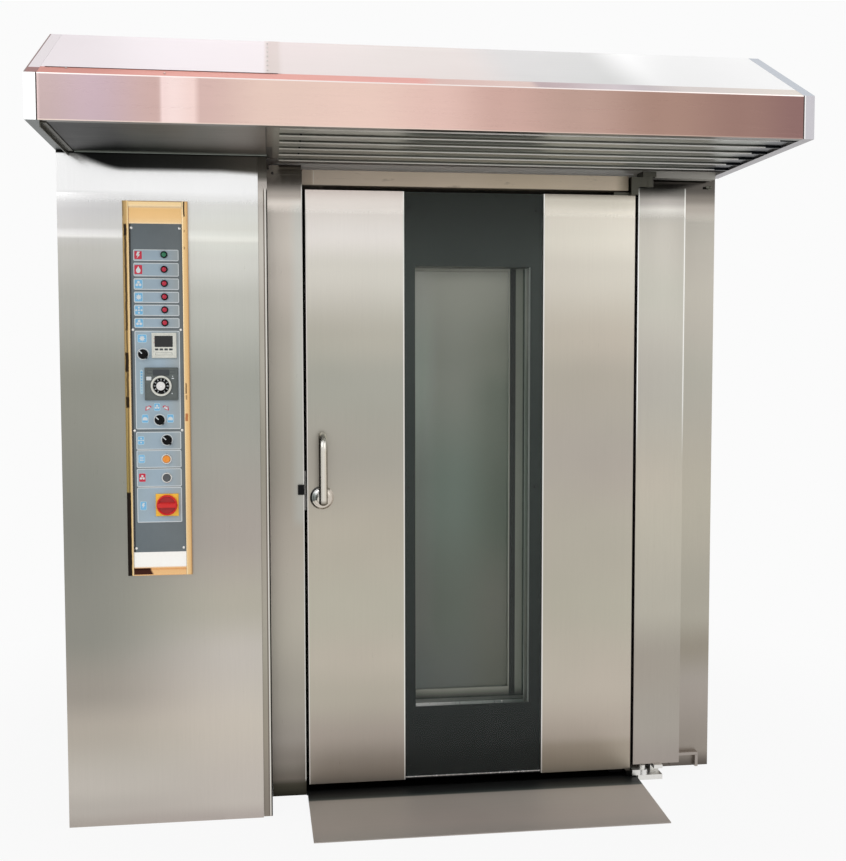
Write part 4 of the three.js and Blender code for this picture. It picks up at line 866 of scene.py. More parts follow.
green_lens = plastic("green_lens", "green_plastic", (30, 122, 84), roughness=0.12, grain=0.004)
gasket_rubber = plastic("gasket_rubber", "gasket_rubber", (34, 34, 34), roughness=0.7, grain=0.06)
# Matte black for the painted shade in the gap beside the door
gap_shade_black = plastic(
    "gap_shade_black", "gasket_rubber", (8, 8, 8), roughness=0.8, grain=0.06, Specular_IOR_Level=0.1
)
machine_paint = painted("machine_paint", "machine_paint", (74, 100, 126), roughness=0.4)
cast_iron = painted("cast_iron", "cast_iron", (82, 78, 74), roughness=0.75, wear=0.16)


def window_frame_finish():
    """Door's window frame: dark enamel behind the outer glass, lighter upwards, with painted light and shade
    on the sides of the opening.
    """
    finish = Finish("window_enamel", "dark_steel", Metallic=0.3)
    border = finish.tones("z", [
        (0.04, 8, 9, 10), (0.30, 14, 18, 17), (0.60, 30, 36, 32), (1.10, 40, 47, 43), (1.75, 58, 64, 60),
        (1.97, 38, 42, 37)
    ])
    # rear lip: painted highlight bands and shade, darker at the foot
    back = finish.tones("x", [
        (WINDOW_RIGHT - 0.0545, 178, 179, 166), (WINDOW_RIGHT - 0.0515, 178, 179, 166),
        (WINDOW_RIGHT - 0.0500, 40, 41, 38), (WINDOW_RIGHT - 0.0320, 42, 42, 40),
        (WINDOW_RIGHT - 0.0290, 146, 150, 138), (WINDOW_RIGHT - 0.0080, 146, 150, 138),
        (WINDOW_RIGHT - 0.0040, 60, 72, 62)
    ])
    back = finish.over(back, (60, 62, 60), finish.span("z", WINDOW_LOW + 0.03, WINDOW_LOW))
    deep = finish.span("y", window.front + 0.06, window.front + 0.07)
    tone = finish.mix(deep, border, back)
    reveal = finish.tones("z", [
        (WINDOW_LOW, 150, 152, 146), (0.5, 150, 152, 142), (0.9, 140, 154, 142), (1.3, 150, 162, 150),
        (1.55, 196, 200, 191), (WINDOW_HIGH, 214, 218, 211)
    ])
    # painted highlight near the reveal's front edge
    lit = finish.math(
        "MULTIPLY", finish.span("y", window.front + 0.024, window.front + 0.020),
        finish.span("z", WINDOW_LOW + 0.2, WINDOW_LOW + 0.5, 0.7, 1.0)
    )
    reveal = finish.over(reveal, (252, 255, 253), lit)
    # painted dark line of shade across the reveal
    reveal = finish.over(
        reveal, (70, 78, 74), finish.zone("y", window.front + 0.026, window.front + 0.036, 0.002)
    )
    tone = finish.mix(finish.side("x", -1), tone, reveal)
    # painted shade on the lintel's underside, painted light on the ledge
    lintel = finish.tones("x", [
        (WINDOW_LEFT, 112, 112, 104), (window.x, 96, 94, 88), (WINDOW_RIGHT, 68, 66, 64)
    ])
    tone = finish.mix(finish.side("z", -1), tone, lintel)
    ledge = finish.tones("x", [
        (WINDOW_LEFT, 178, 178, 174), (window.x, 140, 144, 138), (WINDOW_RIGHT, 128, 132, 126)
    ])
    tone = finish.mix(finish.side("z", 1), tone, ledge)
    smear = finish.span(finish.noise(5, (1, 1, 0.4), detail=3.0), 0.3, 0.7, 0.92, 1.08)
    finish.set("Base Color", finish.mix(1.0, tone, smear, "MULTIPLY"))
    finish.set("Roughness", finish.span(finish.noise(40, detail=3.0), 0.3, 0.7, 0.35, 0.5))
    finish.bump(finish.noise(500, GRAIN["z"], detail=2.0), 0.0002, 0.2)
    return finish


def pane(name, slot, tone, alpha, specular):
    """Thin glass: mostly see-through, its colour from the given tone, with light smears in its gloss."""
    finish = Finish(name, slot, Alpha=alpha, IOR=1.5, Specular_IOR_Level=specular)
    finish.set("Base Color", tone(finish))
    finish.set("Roughness", finish.span(finish.noise(9, (1, 1, 0.5), detail=3.0), 0.3, 0.7, 0.04, 0.10))
    return finish


def inner_pane_tone(finish):
    """Inner glass painted with light and reflection: brighter to the left and above, with a dark line near
    the foot.
    """
    left = finish.tones("z", [
        (0.30, 140, 146, 142), (0.60, 154, 156, 148), (1.00, 164, 172, 162), (1.40, 206, 217, 205),
        (1.74, 232, 233, 223)
    ])
    middle = finish.tones("z", [
        (0.30, 130, 134, 128), (0.60, 130, 138, 126), (1.00, 142, 156, 144), (1.40, 170, 174, 162),
        (1.74, 206, 207, 194)
    ])
    right = finish.tones("z", [
        (0.30, 128, 130, 118), (0.60, 136, 138, 126), (0.90, 120, 130, 116), (1.30, 138, 146, 132),
        (1.45, 160, 164, 150), (1.74, 204, 205, 192)
    ])
    tone = finish.mix(finish.span("x", 0.02, 0.12, soft=True), left, middle)
    tone = finish.mix(finish.span("x", 0.16, 0.31, soft=True), tone, right)
    return finish.over(tone, (78, 82, 80), finish.zone("z", 0.285, 0.312, 0.006))


window_enamel = window_frame_finish()
outer_pane = pane(
    "outer_pane", "outer_glass", along("z", [(0.0, 60, 70, 66), (2.0, 70, 80, 76)]), 0.10, 0.3
)
inner_pane = pane("inner_pane", "inner_glass", inner_pane_tone, 0.86, 0.2)

CAD_FINISHES = {
    cabinet_steel: ["cabinet_front_panel"], partition_steel: ["cabinet_partition"],
    frame_steel: ["left_stile"], cover_steel: ["cover_stile"], strip_steel: ["right_front_post"],
    header_steel: ["door_header"], rail_steel: ["hood_back_plate"],
    side_steel: ["cabinet_left_panel", "right_wall", "rear_wall", "roof_slab"],
    chamber_steel: [
        "supply_air_panel", "return_air_panel", "turntable", "carrier_beam", "carrier_upright_left",
        "carrier_upright_right", "fan_impeller"
    ],
    grille_steel: ["baffle_grille"], door_steel: ["door_left_leaf", "door_right_leaf"],
    handle_steel: ["door_handle"], rosette_steel: ["handle_rosette"],
    dark_steel: ["cabinet_floor", "latch_bolt", "door_upper_arm", "upper_hinge_pin"],
    arm_steel: ["door_lower_arm"], sill_steel: ["oven_base"], soffit_steel: ["hood_soffit"],
    window_enamel: ["door_window_frame"], rose_steel: ["hood_fascia"],
    pale_steel: ["hood_roof_left", "hood_roof_right", "exhaust_collar"], left_cap_steel: ["hood_left_end"],
    right_cap_steel: ["hood_right_end"], ramp_steel: ["threshold_ramp"], brass: ["gold_trim_frame"],
    slate_paint: ["control_plate"], outer_pane: ["door_outer_glass"], inner_pane: ["door_inner_glass"],
    gasket_rubber: ["door_gasket"], white_plastic: ["temperature_controller"],
    timer_plastic: ["timer_body"],
    black_plastic: [
        "timer_dial", "selector_knob_upper", "selector_knob_middle", "selector_knob_lower", "strike_block"
    ],
    grey_plastic: ["stop_button"], orange_plastic: ["start_button"], yellow_plastic: ["main_switch_plate"],
    red_plastic: ["main_switch_knob"], machine_paint: ["gear_motor", "fan_motor", "burner"],
    cast_iron: ["heat_exchanger", "steam_generator"]
}


def finish_cad_nodes():
    """Give every CAD node its finish."""
    for finish, names in CAD_FINISHES.items():
        for name in names:
            for slot in nodes[name].material_slots:
                slot.material = finish.material


# ---------------------------------------------------------------- studio
BACKGROUND = 251
LAMPS = [  # name, place, size and power
    ("key_lamp", (-3.2, -5.0, 4.2), 3.5, 45),
    ("fill_lamp", (3.8, -4.6, 3.2), 3.5, 25),
    ("back_lamp", (0.5, 4.6, 4.4), 4.0, 45),
]
LAMP_AIM = (0, 0, 1.1)
AMBIENT = 0.8
FLOOR_SIZE = 60.0
FLOOR_LEVEL = -0.5 * MM  # just under the oven's feet


def seen_directly(tree):
    """1 on a camera, glossy or transmission ray, else 0."""
    path = tree.nodes.new("ShaderNodeLightPath")
    total = path.outputs["Is Camera Ray"]
    for name in ("Is Glossy Ray", "Is Transmission Ray"):
        larger = tree.nodes.new("ShaderNodeMath")
        larger.operation = "MAXIMUM"
        tree.links.new(total, larger.inputs[0])
        tree.links.new(path.outputs[name], larger.inputs[1])
        total = larger.outputs[0]
    return total


def make_studio():
    """Even surroundings, three large soft lamps and a pale floor."""
    scene = bpy.context.scene
    scene.view_settings.view_transform = "Standard"

    world = bpy.data.worlds.new("studio")
    scene.world = world
    world.use_nodes = True
    tree = world.node_tree
    background = tree.nodes["Background"]
    shade = tree.nodes.new("ShaderNodeMix")
    shade.data_type = "RGBA"
    shade.inputs[6].default_value = (AMBIENT, AMBIENT, AMBIENT, 1)
    shade.inputs[7].default_value = colour(BACKGROUND)
    tree.links.new(seen_directly(tree), shade.inputs["Factor"])
    tree.links.new(shade.outputs[2], background.inputs["Color"])

    aim = Vector(LAMP_AIM)
    for name, place, size, power in LAMPS:
        data = bpy.data.lights.new(name, "AREA")
        data.shape = "SQUARE"
        data.size = size
        data.energy = power
        lamp = bpy.data.objects.new(name, data)
        scene.collection.objects.link(lamp)
        lamp.location = place
        lamp.rotation_euler = (aim - Vector(place)).to_track_quat("-Z", "Y").to_euler()

    mesh = bpy.data.meshes.new("floor")
    half = FLOOR_SIZE / 2
    corners = [(x, y, FLOOR_LEVEL) for x, y in rectangle(-half, half, -half, half)]
    mesh.from_pydata(corners, [], [(0, 1, 2, 3)])
    floor = bpy.data.objects.new("floor", mesh)
    scene.collection.objects.link(floor)
    mesh.materials.append(floor_material())


def floor_material():
    """White floor: a soft shadow near the oven, and the backdrop's own white away from it."""
    finish = Finish("studio_floor", None, Roughness=0.9)
    finish.shader.inputs["Base Color"].default_value = colour(228)
    tree = finish.tree
    glow = finish.add("Emission")
    glow.inputs["Color"].default_value = colour(BACKGROUND)
    length = finish.add("VectorMath", operation="LENGTH")
    tree.links.new(finish.place()["point"], length.inputs[0])
    near = finish.span(length.outputs["Value"], 1.3, 2.6, 0.95, 1.0, soft=True)
    share = finish.math("MULTIPLY", near, seen_directly(tree))
    blend = finish.add("MixShader")
    tree.links.new(share, blend.inputs[0])
    tree.links.new(finish.shader.outputs[0], blend.inputs[1])
    tree.links.new(glow.outputs[0], blend.inputs[2])
    tree.links.new(blend.outputs[0], tree.nodes["Material Output"].inputs["Surface"])
    return finish.material


# ---------------------------------------------------------------- mesh helpers
def put(axis, u, v, w):
    """A point from an outline's (u, v) and its place w along the axis it is swept on."""
    return {"x": Vector((w, u, v)), "y": Vector((u, w, v)), "z": Vector((u, v, w))}[axis]


def polar(u, v, radius, angle):
    """The point at a radius and an angle from (u, v)."""
    return u + radius * math.cos(angle), v + radius * math.sin(angle)


def around(u, v, left, right, low, high):
    """A rectangle's sides, each given in millimetres from the point (u, v)."""
    return u + left * MM, u + right * MM, v + low * MM, v + high * MM


def rectangle(left, right, low, high):
    return [(left, low), (right, low), (right, high), (left, high)]


def disc(u, v, radius, sides=32):
    return [polar(u, v, radius, 2 * math.pi * i / sides) for i in range(sides)]


def rounded(left, right, low, high, radius, steps=5):
    """Rectangle with round corners, from its lower right corner round to the left."""
    corners = [(right, low, -90), (right, high, 0), (left, high, 90), (left, low, 180)]
    outline = []
    for u, v, start in corners:
        centre_u = u - radius if u == right else u + radius
        centre_v = v - radius if v == high else v + radius
        for i in range(steps + 1):
            outline.append(polar(centre_u, centre_v, radius, math.radians(start + 90 * i / steps)))
    return outline


SCREW_PROFILE = [  # shares of the head's radius and of its rise: a washer, then the domed head
    (0, 0), (1.25, 0), (1.25, 0.2), (1, 0.25), (0.92, 0.62), (0.62, 0.92), (0.25, 1), (0.18, 0.7), (0, 0.7)
]


class Piece:
    """Closed forms gathered in one mesh, with one finish, riding on one body."""

    def __init__(self, name, finish, body="oven"):
        self.name = name
        self.finish = finish
        self.body = body
        self.mesh = bmesh.new()

    def sheet(self, outline, near, far, holes=(), axis="y"):
        """Flat shape with holes, between two places along an axis."""
        loops = []
        for loop in (outline, *holes):
            loops.append([[self.mesh.verts.new(put(axis, u, v, w)) for u, v in loop] for w in (near, far)])
        if holes:
            edges = []
            for front, _ in loops:
                edges += [self.mesh.edges.new(pair) for pair in zip(front, front[1:] + front[:1])]
            filled = bmesh.ops.triangle_fill(self.mesh, edges=edges, use_beauty=True)["geom"]
            faces = [f for f in filled if isinstance(f, bmesh.types.BMFace)]
        else:
            faces = [self.mesh.faces.new(loops[0][0])]
        twin = {a: b for front, back in loops for a, b in zip(front, back)}
        for face in faces:
            self.mesh.faces.new([twin[v] for v in reversed(face.verts)])
        for front, back in loops:
            for i in range(len(front)):
                j = (i + 1) % len(front)
                self.mesh.faces.new([front[i], front[j], back[j], back[i]])
        return self

    def on(self, face, rise, *outlines):
        """Thin flat shapes that stand out to the front of a face, by a rise in millimetres."""
        for outline in outlines:
            self.sheet(outline, face - rise * MM, face)
        return self

    def block(self, left, right, front, back, low, high):
        return self.sheet(rectangle(left, right, low, high), front, back)

    def border(self, left, right, low, high, width, radius, near, far):
        """Rounded frame of one width."""
        inner = rounded(left + width, right - width, low + width, high - width, max(radius - width, 0.2 * MM))
        return self.sheet(rounded(left, right, low, high, radius), near, far, [inner])

    def turned(self, profile, u, v, sides=32, axis="y"):
        """Profile of (radius, place along the axis), turned round the axis through (u, v)."""
        rings = []
        for radius, w in profile:
            count = 1 if radius == 0 else sides
            rings.append([self.mesh.verts.new(put(axis, a, b, w)) for a, b in disc(u, v, radius, count)])
        for near, far in zip(rings, rings[1:]):
            for i in range(sides):
                j = (i + 1) % sides
                corners = [near[i % len(near)], near[j % len(near)], far[j % len(far)], far[i % len(far)]]
                unique = list(dict.fromkeys(corners))
                if len(unique) > 2:
                    self.mesh.faces.new(unique)
        return self

    def lathe(self, face, profile, x, z, sides=32):
        """Round form to the front of a face, from a profile of (radius, rise) in millimetres."""
        return self.turned([(radius * MM, face - rise * MM) for radius, rise in profile], x, z, sides)

    def screw(self, u, v, seat, radius, rise, axis="y", out=-1):
        """Screw head in millimetres on a surface at the seat; it stands out along the axis's out sense."""
        radius, rise = radius * MM, rise * MM
        profile = [(radius * width, seat + out * rise * height) for width, height in SCREW_PROFILE]
        return self.turned(profile, u, v, 16, axis)

    def band(self, radius, reach, low, high, u, v, axis="z"):
        """Band round a cylinder: it stands out from the radius to the reach, both in millimetres."""
        inner, outer = radius * MM, reach * MM
        section = [(inner, low), (outer, low), (outer, high), (inner, high), (inner, low)]
        return self.turned(section, u, v, 48, axis)

    def tube(self, points, radius, sides=12, closed=False):
        """Round bar along a path."""
        path = [Vector(p) for p in points]
        rings = []
        side = None
        for i, point in enumerate(path):
            before = path[i - 1] if i or closed else path[0]
            after = path[(i + 1) % len(path)] if i + 1 < len(path) or closed else path[-1]
            ahead = (after - before).normalized()
            across = ahead.orthogonal() if side is None else side - ahead * side.dot(ahead)
            side = across.normalized()
            up = ahead.cross(side)
            turns = [2 * math.pi * k / sides for k in range(sides)]
            ring = [point + radius * (side * math.cos(a) + up * math.sin(a)) for a in turns]
            rings.append([self.mesh.verts.new(p) for p in ring])
        pairs = list(zip(rings, rings[1:])) + ([(rings[-1], rings[0])] if closed else [])
        for near, far in pairs:
            for k in range(sides):
                j = (k + 1) % sides
                self.mesh.faces.new([near[k], near[j], far[j], far[k]])
        if not closed:
            self.mesh.faces.new(list(reversed(rings[0])))
            self.mesh.faces.new(rings[-1])
        return self

    def done(self, bevel=0.0, sharp=35):
        """Make the object: its edges over the sharp angle stay crisp, or are rounded by the bevel."""
        bmesh.ops.recalc_face_normals(self.mesh, faces=self.mesh.faces)
        data = bpy.data.meshes.new(self.name)
        self.mesh.to_mesh(data)
        self.mesh.free()
        data.materials.append(self.finish.material)
        piece = bpy.data.objects.new(self.name, data)
        bpy.context.scene.collection.objects.link(piece)
        if bevel:
            rounding = piece.modifiers.new("rounding", "BEVEL")
            rounding.width = bevel
            rounding.segments = 2
            rounding.limit_method = "ANGLE"
            rounding.angle_limit = math.radians(sharp)
        data.shade_smooth()
        data.set_sharp_from_angle(angle=math.radians(sharp))
        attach(piece, self.body)


# ---------------------------------------------------------------- control plate
PRINT = 0.15 * MM
ROW_LEFT, ROW_RIGHT = -66 * MM, 67 * MM  # from the plate's middle
ROWS = [  # top and bottom of each outlined row, in millimetres below the plate's top
    (77, 111), (117, 157), (163, 197), (203, 236), (242, 275), (282, 311), (320, 617), (625, 679), (681, 734),
    (737, 792), (794, 901)
]
ROW_LINE = 2.2 * MM
ROW_CORNER = 4 * MM
PLATE_SCREW_DROPS = [13, 317, 621, 980]
PLATE_SCREW_INSET = 7 * MM

controller = Box("temperature_controller")
timer = Box("timer_body")
timer_dial = Box("timer_dial")
start_button = Box("start_button")
stop_button = Box("stop_button")
switch_plate = Box("main_switch_plate")
switch_knob = Box("main_switch_knob")
SELECTORS = [  # knob's box and body, and its shaft's place right of the plate's middle and below its top
    (Box("selector_knob_upper"), "upper_selector", -42, 390),
    (Box("selector_knob_middle"), "middle_selector", 4, 589),
    (Box("selector_knob_lower"), "lower_selector", 25, 650),
]
LAMP_X = plate.x + 24 * MM
LAMP_DROPS = [92, 136, 178, 218, 257, 296]
LAMP_HOLE = 10.6 * MM
LAMP_FACE = plate.front
LAMP_PROUD = 5 * MM
PLATE_FACE = LAMP_FACE + LAMP_PROUD  # the plate's own face, behind its lamps' fronts
BEZEL_HOLE = 15.8 * MM
KNOB_HOLE = 15 * MM
INSTRUMENT_GAP = 0.5 * MM


def control_holes():
    """Outlines that the printed rows leave free round the controls, with their middle heights."""
    rounds = [(LAMP_X, plate.top - drop * MM, LAMP_HOLE) for drop in LAMP_DROPS]
    rounds += [(knob.x, knob.z, KNOB_HOLE) for knob, *_ in SELECTORS]
    rounds += [(button.x, button.z, BEZEL_HOLE) for button in (start_button, stop_button)]
    holes = [(z, disc(x, z, radius)) for x, z, radius in rounds]
    for case in (controller, timer, switch_plate):
        holes.append((case.z, rectangle(*case.inset(-INSTRUMENT_GAP))))
    return holes


def make_rows():
    """Pale printed fields with white outlines, one for each row of controls."""
    fill = Piece("row_fields", row_paint)
    lines = Piece("row_outlines", print_white)
    holes = control_holes()
    for top, bottom in ROWS:
        low, high = plate.top - bottom * MM, plate.top - top * MM
        row = (plate.x + ROW_LEFT, plate.x + ROW_RIGHT, low, high)
        inside = [outline for middle, outline in holes if low < middle < high]
        fill.sheet(rounded(*row, ROW_CORNER), PLATE_FACE - PRINT, PLATE_FACE, inside)
        lines.border(*row, ROW_LINE, ROW_CORNER, PLATE_FACE - 2 * PRINT, PLATE_FACE - PRINT)
    fill.done()
    lines.done()


BOLT = [(-0.10, 0.5), (0.28, 0.5), (0.05, 0.1), (0.30, 0.1), (-0.22, -0.5), (-0.05, -0.06), (-0.30, -0.06)]
HALF_FLAME = [(0, 0.5), (0.14, 0.22), (0.30, 0.0), (0.32, -0.24), (0.18, -0.44), (0, -0.5)]
ARCH = [(0.42 * math.cos(math.pi * i / 10), 0.4 * math.sin(math.pi * i / 10) - 0.1) for i in range(11)]
MARKS = {  # outlines in a square of side 1 about its middle
    "bolt": [BOLT],
    "flame": [HALF_FLAME + [(-u, v) for u, v in reversed(HALF_FLAME[1:-1])]],
    "fan": [disc(*polar(0, 0, 0.25, math.radians(a)), 0.19, 16) for a in (90, 210, 330)],
    "star": [[polar(0, 0, 0.46 if i % 2 == 0 else 0.24, math.pi * i / 8) for i in range(16)]],
    "cross": [disc(u, v, 0.13, 14) for u, v in ((-0.36, 0), (0.36, 0), (0, -0.36), (0, 0.36), (0, 0))],
    "bars": [rectangle(-0.34, 0.34, v - 0.07, v + 0.07) for v in (-0.3, 0.0, 0.3)],
    "arch": [ARCH + [(-0.42, -0.3), (0.42, -0.3)]],
}
MARK_SHARE = 0.86  # of the sign's shorter side
SIGNS = [  # place right of the plate's middle and below its top, width and height, ground, mark
    (-52, 94, 24, 26, "red", "bolt"),
    (-52, 137, 25, 29, "red", "flame"),
    (-52, 180, 25, 27, "blue", "fan"),
    (-52, 219.5, 25, 27, "blue", "star"),
    (-52, 258.5, 25, 27, "blue", "cross"),
    (-52, 296.5, 25, 26, "blue", "fan"),
    (-44, 343, 28, 25, "blue", "star"),
    (-3, 550, 19, 24, "blue", "fan"),
    (-39, 585, 20, 26, "blue", "arch"),
    (36, 585, 20, 26, "blue", "arch"),
    (-52, 651, 20, 26, "blue", "cross"),
    (-51, 707, 20, 26, "blue", "bars"),
    (-50, 764, 21, 27, "red", "fan"),
    (-48, 850, 20, 27, "blue", "bolt"),
]
SIGN_RIM = {"red": 0.8, "blue": 1.6}
ARROW = [(-9, 6), (-2, 8), (3, 3), (7, 6), (9, -8), (-4, -4), (-1, -1), (-4, 2), (-9, 1)]
ARROW_PAIR = (-3, 553, 26)  # middle of the pair, its drop, and half the distance between the two
ARROW_SHRINK = 0.36  # from the red arrow to the white one on it
SCALE_DOTS = 8


def make_signs():
    """Small printed signs: a pale rim, a coloured ground and a white mark; a dotted scale and two arrows."""
    rims = Piece("sign_rims", print_pale_blue)
    grounds = {"red": Piece("red_signs", print_red), "blue": Piece("blue_signs", print_blue)}
    marks = Piece("sign_marks", print_white)
    face = PLATE_FACE - 2 * PRINT
    for offset, drop, width, height, ground, mark in SIGNS:
        x, z = plate.x + offset * MM, plate.top - drop * MM
        half_w, half_h, rim = width / 2, height / 2, SIGN_RIM[ground]
        outer = around(x, z, -half_w, half_w, -half_h, half_h)
        inner = around(x, z, rim - half_w, half_w - rim, rim - half_h, half_h - rim)
        rims.sheet(rounded(*outer, 4 * MM), face - PRINT, face)
        grounds[ground].sheet(rounded(*inner, 2.4 * MM), face - 2 * PRINT, face - PRINT)
        size = min(width, height) * MM * MARK_SHARE
        for outline in MARKS[mark]:
            shape = [(x + u * size, z + v * size) for u, v in outline]
            marks.sheet(shape, face - 3 * PRINT, face - 2 * PRINT)
    scale = around(plate.x, plate.top, -52, -43, -511, -437)
    rims.sheet(rounded(*scale, 4 * MM), face - PRINT, face)
    for i in range(SCALE_DOTS):
        dot = disc((scale[0] + scale[1]) / 2, scale[2] + (8 + 8.3 * i) * MM, (1.4 + 0.25 * i) * MM, 14)
        grounds["blue"].sheet(dot, face - 2 * PRINT, face - PRINT)
    middle, drop, half = ARROW_PAIR
    for side in (-1, 1):
        x, z = plate.x + middle * MM + side * half * MM, plate.top - drop * MM
        arrow = [(x + side * u * MM, z + v * MM) for u, v in ARROW]
        inner = [(u + ARROW_SHRINK * (x - u), v + ARROW_SHRINK * (z - v)) for u, v in arrow]
        grounds["red"].sheet(arrow, face - 2 * PRINT, face)
        marks.sheet(inner, face - 3 * PRINT, face - 2 * PRINT)
    for piece in (rims, *grounds.values(), marks):
        piece.done()


LAMP_RING_PROFILE = [
    (9.1, 0), (10.4, 0), (10.2, 5.2), (9.0, 6.2), (7.2, 6.2), (7.2, 5.1), (9.1, 5.1), (9.1, 0)
]
LENS_ANGLES = [math.pi / 2 * i / 6 for i in range(6)]
LENS_DOME = [(7 * math.cos(a), 1 + 2.2 * math.sin(a)) for a in LENS_ANGLES]


def make_lamps():
    """Signal lamps: a black ring and a domed lens each, green at the top and red below."""
    rings = Piece("lamp_rings", black_plastic)
    red = Piece("red_lamp_lenses", red_lens)
    green = Piece("green_lamp_lens", green_lens)
    for drop in LAMP_DROPS:
        z = plate.top - drop * MM
        rings.lathe(PLATE_FACE, LAMP_RING_PROFILE, LAMP_X, z)
        lens = green if drop == LAMP_DROPS[0] else red
        lens.lathe(LAMP_FACE, [(0, 0.1), (7, 0.1), *LENS_DOME, (0, 3.2)], LAMP_X, z)
    for piece in (rings, red, green):
        piece.done()


def make_plate_screws():
    screws = Piece("plate_screws", fastener_steel)
    for drop in PLATE_SCREW_DROPS:
        for x in (plate.left + PLATE_SCREW_INSET, plate.right - PLATE_SCREW_INSET):
            screws.screw(x, plate.top - drop * MM, PLATE_FACE, 3, 1.8)
    screws.done()


def make_controller():
    """Temperature controller: bezel, display, four keys, a legend window and two red spots."""
    face, x, top = controller.front, controller.x, controller.top
    bezel = Piece("controller_bezel", white_plastic)
    bezel.border(*controller.inset(1.5 * MM), 4 * MM, 3 * MM, face - 1.2 * MM, face).done(bevel=0.4 * MM)
    display = Piece("controller_display", display_glass)
    display.on(face, 0.6, rounded(*around(x, top, -27, 25, -42, -10), 1.5 * MM)).done()
    surround = Piece("controller_print", print_dark)
    surround.border(*around(x, top, -28, 26, -43, -9), 0.8 * MM, 2 * MM, face - 0.3 * MM, face)
    keys = Piece("controller_keys", print_dark)
    for i in range(4):
        key = (x - 22 * MM + 14 * MM * i, top - 50 * MM)
        surround.border(*around(*key, -5, 5, -2.8, 2.8), 0.9 * MM, 1.4 * MM, face - 0.4 * MM, face)
        keys.on(face, 0.9, rounded(*around(*key, -4, 4, -1.8, 1.8), 0.8 * MM))
    legend = around(x, controller.bottom, -26, 24, 9, 16)
    surround.border(*legend, 0.5 * MM, 1 * MM, face - 0.3 * MM, face).done()
    keys.done()
    spots = Piece("controller_spots", print_red)
    for drop in (18, 30):
        spots.on(face, 0.4, disc(controller.left + 7.5 * MM, top - drop * MM, 0.9 * MM, 12))
    spots.done()


TIMER_DISC_DEPTH = 14 * MM  # the dial's disc lies this far behind the knob's front
TIMER_RING = [(24.5, 0), (30.8, 0), (30.8, 0.8), (29.5, 1.6), (25.5, 1.6), (24.5, 0.6), (24.5, 0)]
TIMER_CAP = [(0, 0), (13.4, 0), (12.9, 0.8), (3, 1.1), (2.4, 0.7), (0, 0.7)]


def make_timer():
    """Timer: rim, printed band and marks on its body; ring, ticks and cap on its dial."""
    face, x, top = timer.front, timer.x, timer.top
    rim = Piece("timer_rim", timer_plastic)
    rim.border(*timer.inset(1 * MM), 2.5 * MM, 2 * MM, face - 1.4 * MM, face).done(bevel=0.3 * MM)
    band = Piece("timer_band", print_dark)
    band.on(face, 0.5, rounded(*around(x, top, -24, 24, -24, -6), 1 * MM))
    for side in (-1, 1):
        eye = around(x + side * 33 * MM, top - 13 * MM, -9, 9, -5, 5)
        band.border(*eye, 0.9 * MM, 4 * MM, face - 0.4 * MM, face)
    band.done()
    marks = [
        rounded(*around(timer.left, top, 5, 20, -38, -27), 1.5 * MM),
        disc(timer.right - 15 * MM, top - 26 * MM, 1.6 * MM, 14),
        rectangle(*around(timer.right, top, -18, -11, -34, -31)),
        disc(timer.right - 17 * MM, timer.bottom + 20 * MM, 1.8 * MM, 14)
    ]
    Piece("timer_marks", print_white).on(face, 0.4, *marks).done()

    shaft = (timer.x, timer_dial.z)
    disc_face = timer_dial.front + TIMER_DISC_DEPTH
    Piece("timer_dial_ring", white_plastic, "timer_knob").lathe(disc_face, TIMER_RING, *shaft, 48).done()
    ticks = Piece("timer_dial_ticks", print_white, "timer_knob")
    for i in range(11):
        for radius, size in ((21.5, 1.1), (18.2, 1.5)):
            spot = polar(*shaft, radius * MM, math.radians(240 - 30 * i))
            ticks.on(disc_face, 0.3, disc(*spot, size * MM, 10))
    ticks.done()
    cap = Piece("timer_dial_cap", fastener_steel, "timer_knob")
    cap.lathe(timer_dial.front, TIMER_CAP, *shaft, 40).done()


SELECTOR_RING = [(15, 0), (18.2, 0), (17.8, 0.8), (15.2, 0.8), (15, 0)]
BEZEL_PROFILE = [
    (15.3, 0), (15.7, 0), (15.7, 3.4), (14.4, 4.8), (12.4, 4.8), (11.9, 4.1), (15.3, 4.1), (15.3, 0)
]
CAP_PROFILE = [(0, 0), (10.6, 0), (10.2, 0.6), (8.8, 0.9), (7.8, 0.5), (0, 0.3)]
RIB_COUNT = 18


def pointer_outline(x, z):
    """Bar from near a selector's middle to its rim, turned 45 degrees to the left."""
    turn = math.radians(45)
    cosine, sine = math.cos(turn), math.sin(turn)
    bar = rectangle(*around(0, 0, -1.5, 1.5, 2, 13))
    return [(x + u * cosine - v * sine, z + u * sine + v * cosine) for u, v in bar]


def make_selectors():
    """Selector switches: a white ring on the plate, a white pointer and a ribbed skirt on the knob."""
    rings = Piece("selector_rings", print_white)
    for knob, body, offset, drop in SELECTORS:
        x, z = plate.x + offset * MM, plate.top - drop * MM
        rings.lathe(PLATE_FACE, SELECTOR_RING, x, z, 40)
        Piece(body + "_pointer", print_white, body).on(knob.front, 0.3, pointer_outline(x, z)).done()
        skirt = Piece(body + "_grip", black_plastic, body)
        for i in range(RIB_COUNT):
            rib = disc(*polar(x, z, 10 * MM, 2 * math.pi * i / RIB_COUNT), 0.8 * MM, 8)
            skirt.sheet(rib, knob.front + 3 * MM, knob.back - 20 * MM)
        skirt.done()
    rings.done()


def make_buttons():
    """Push buttons: a bright bezel on the plate and a coloured cap."""
    bezels = Piece("button_bezels", fastener_steel)
    buttons = ((start_button, orange_plastic, "start"), (stop_button, grey_plastic, "stop"))
    for button, _, _ in buttons:
        bezels.lathe(PLATE_FACE, BEZEL_PROFILE, button.x, button.z, 40)
    bezels.done()
    for button, finish, body in buttons:
        cap = Piece(body + "_button_cap", finish, body)
        cap.lathe(button.front, CAP_PROFILE, button.x, button.z, 40).done()


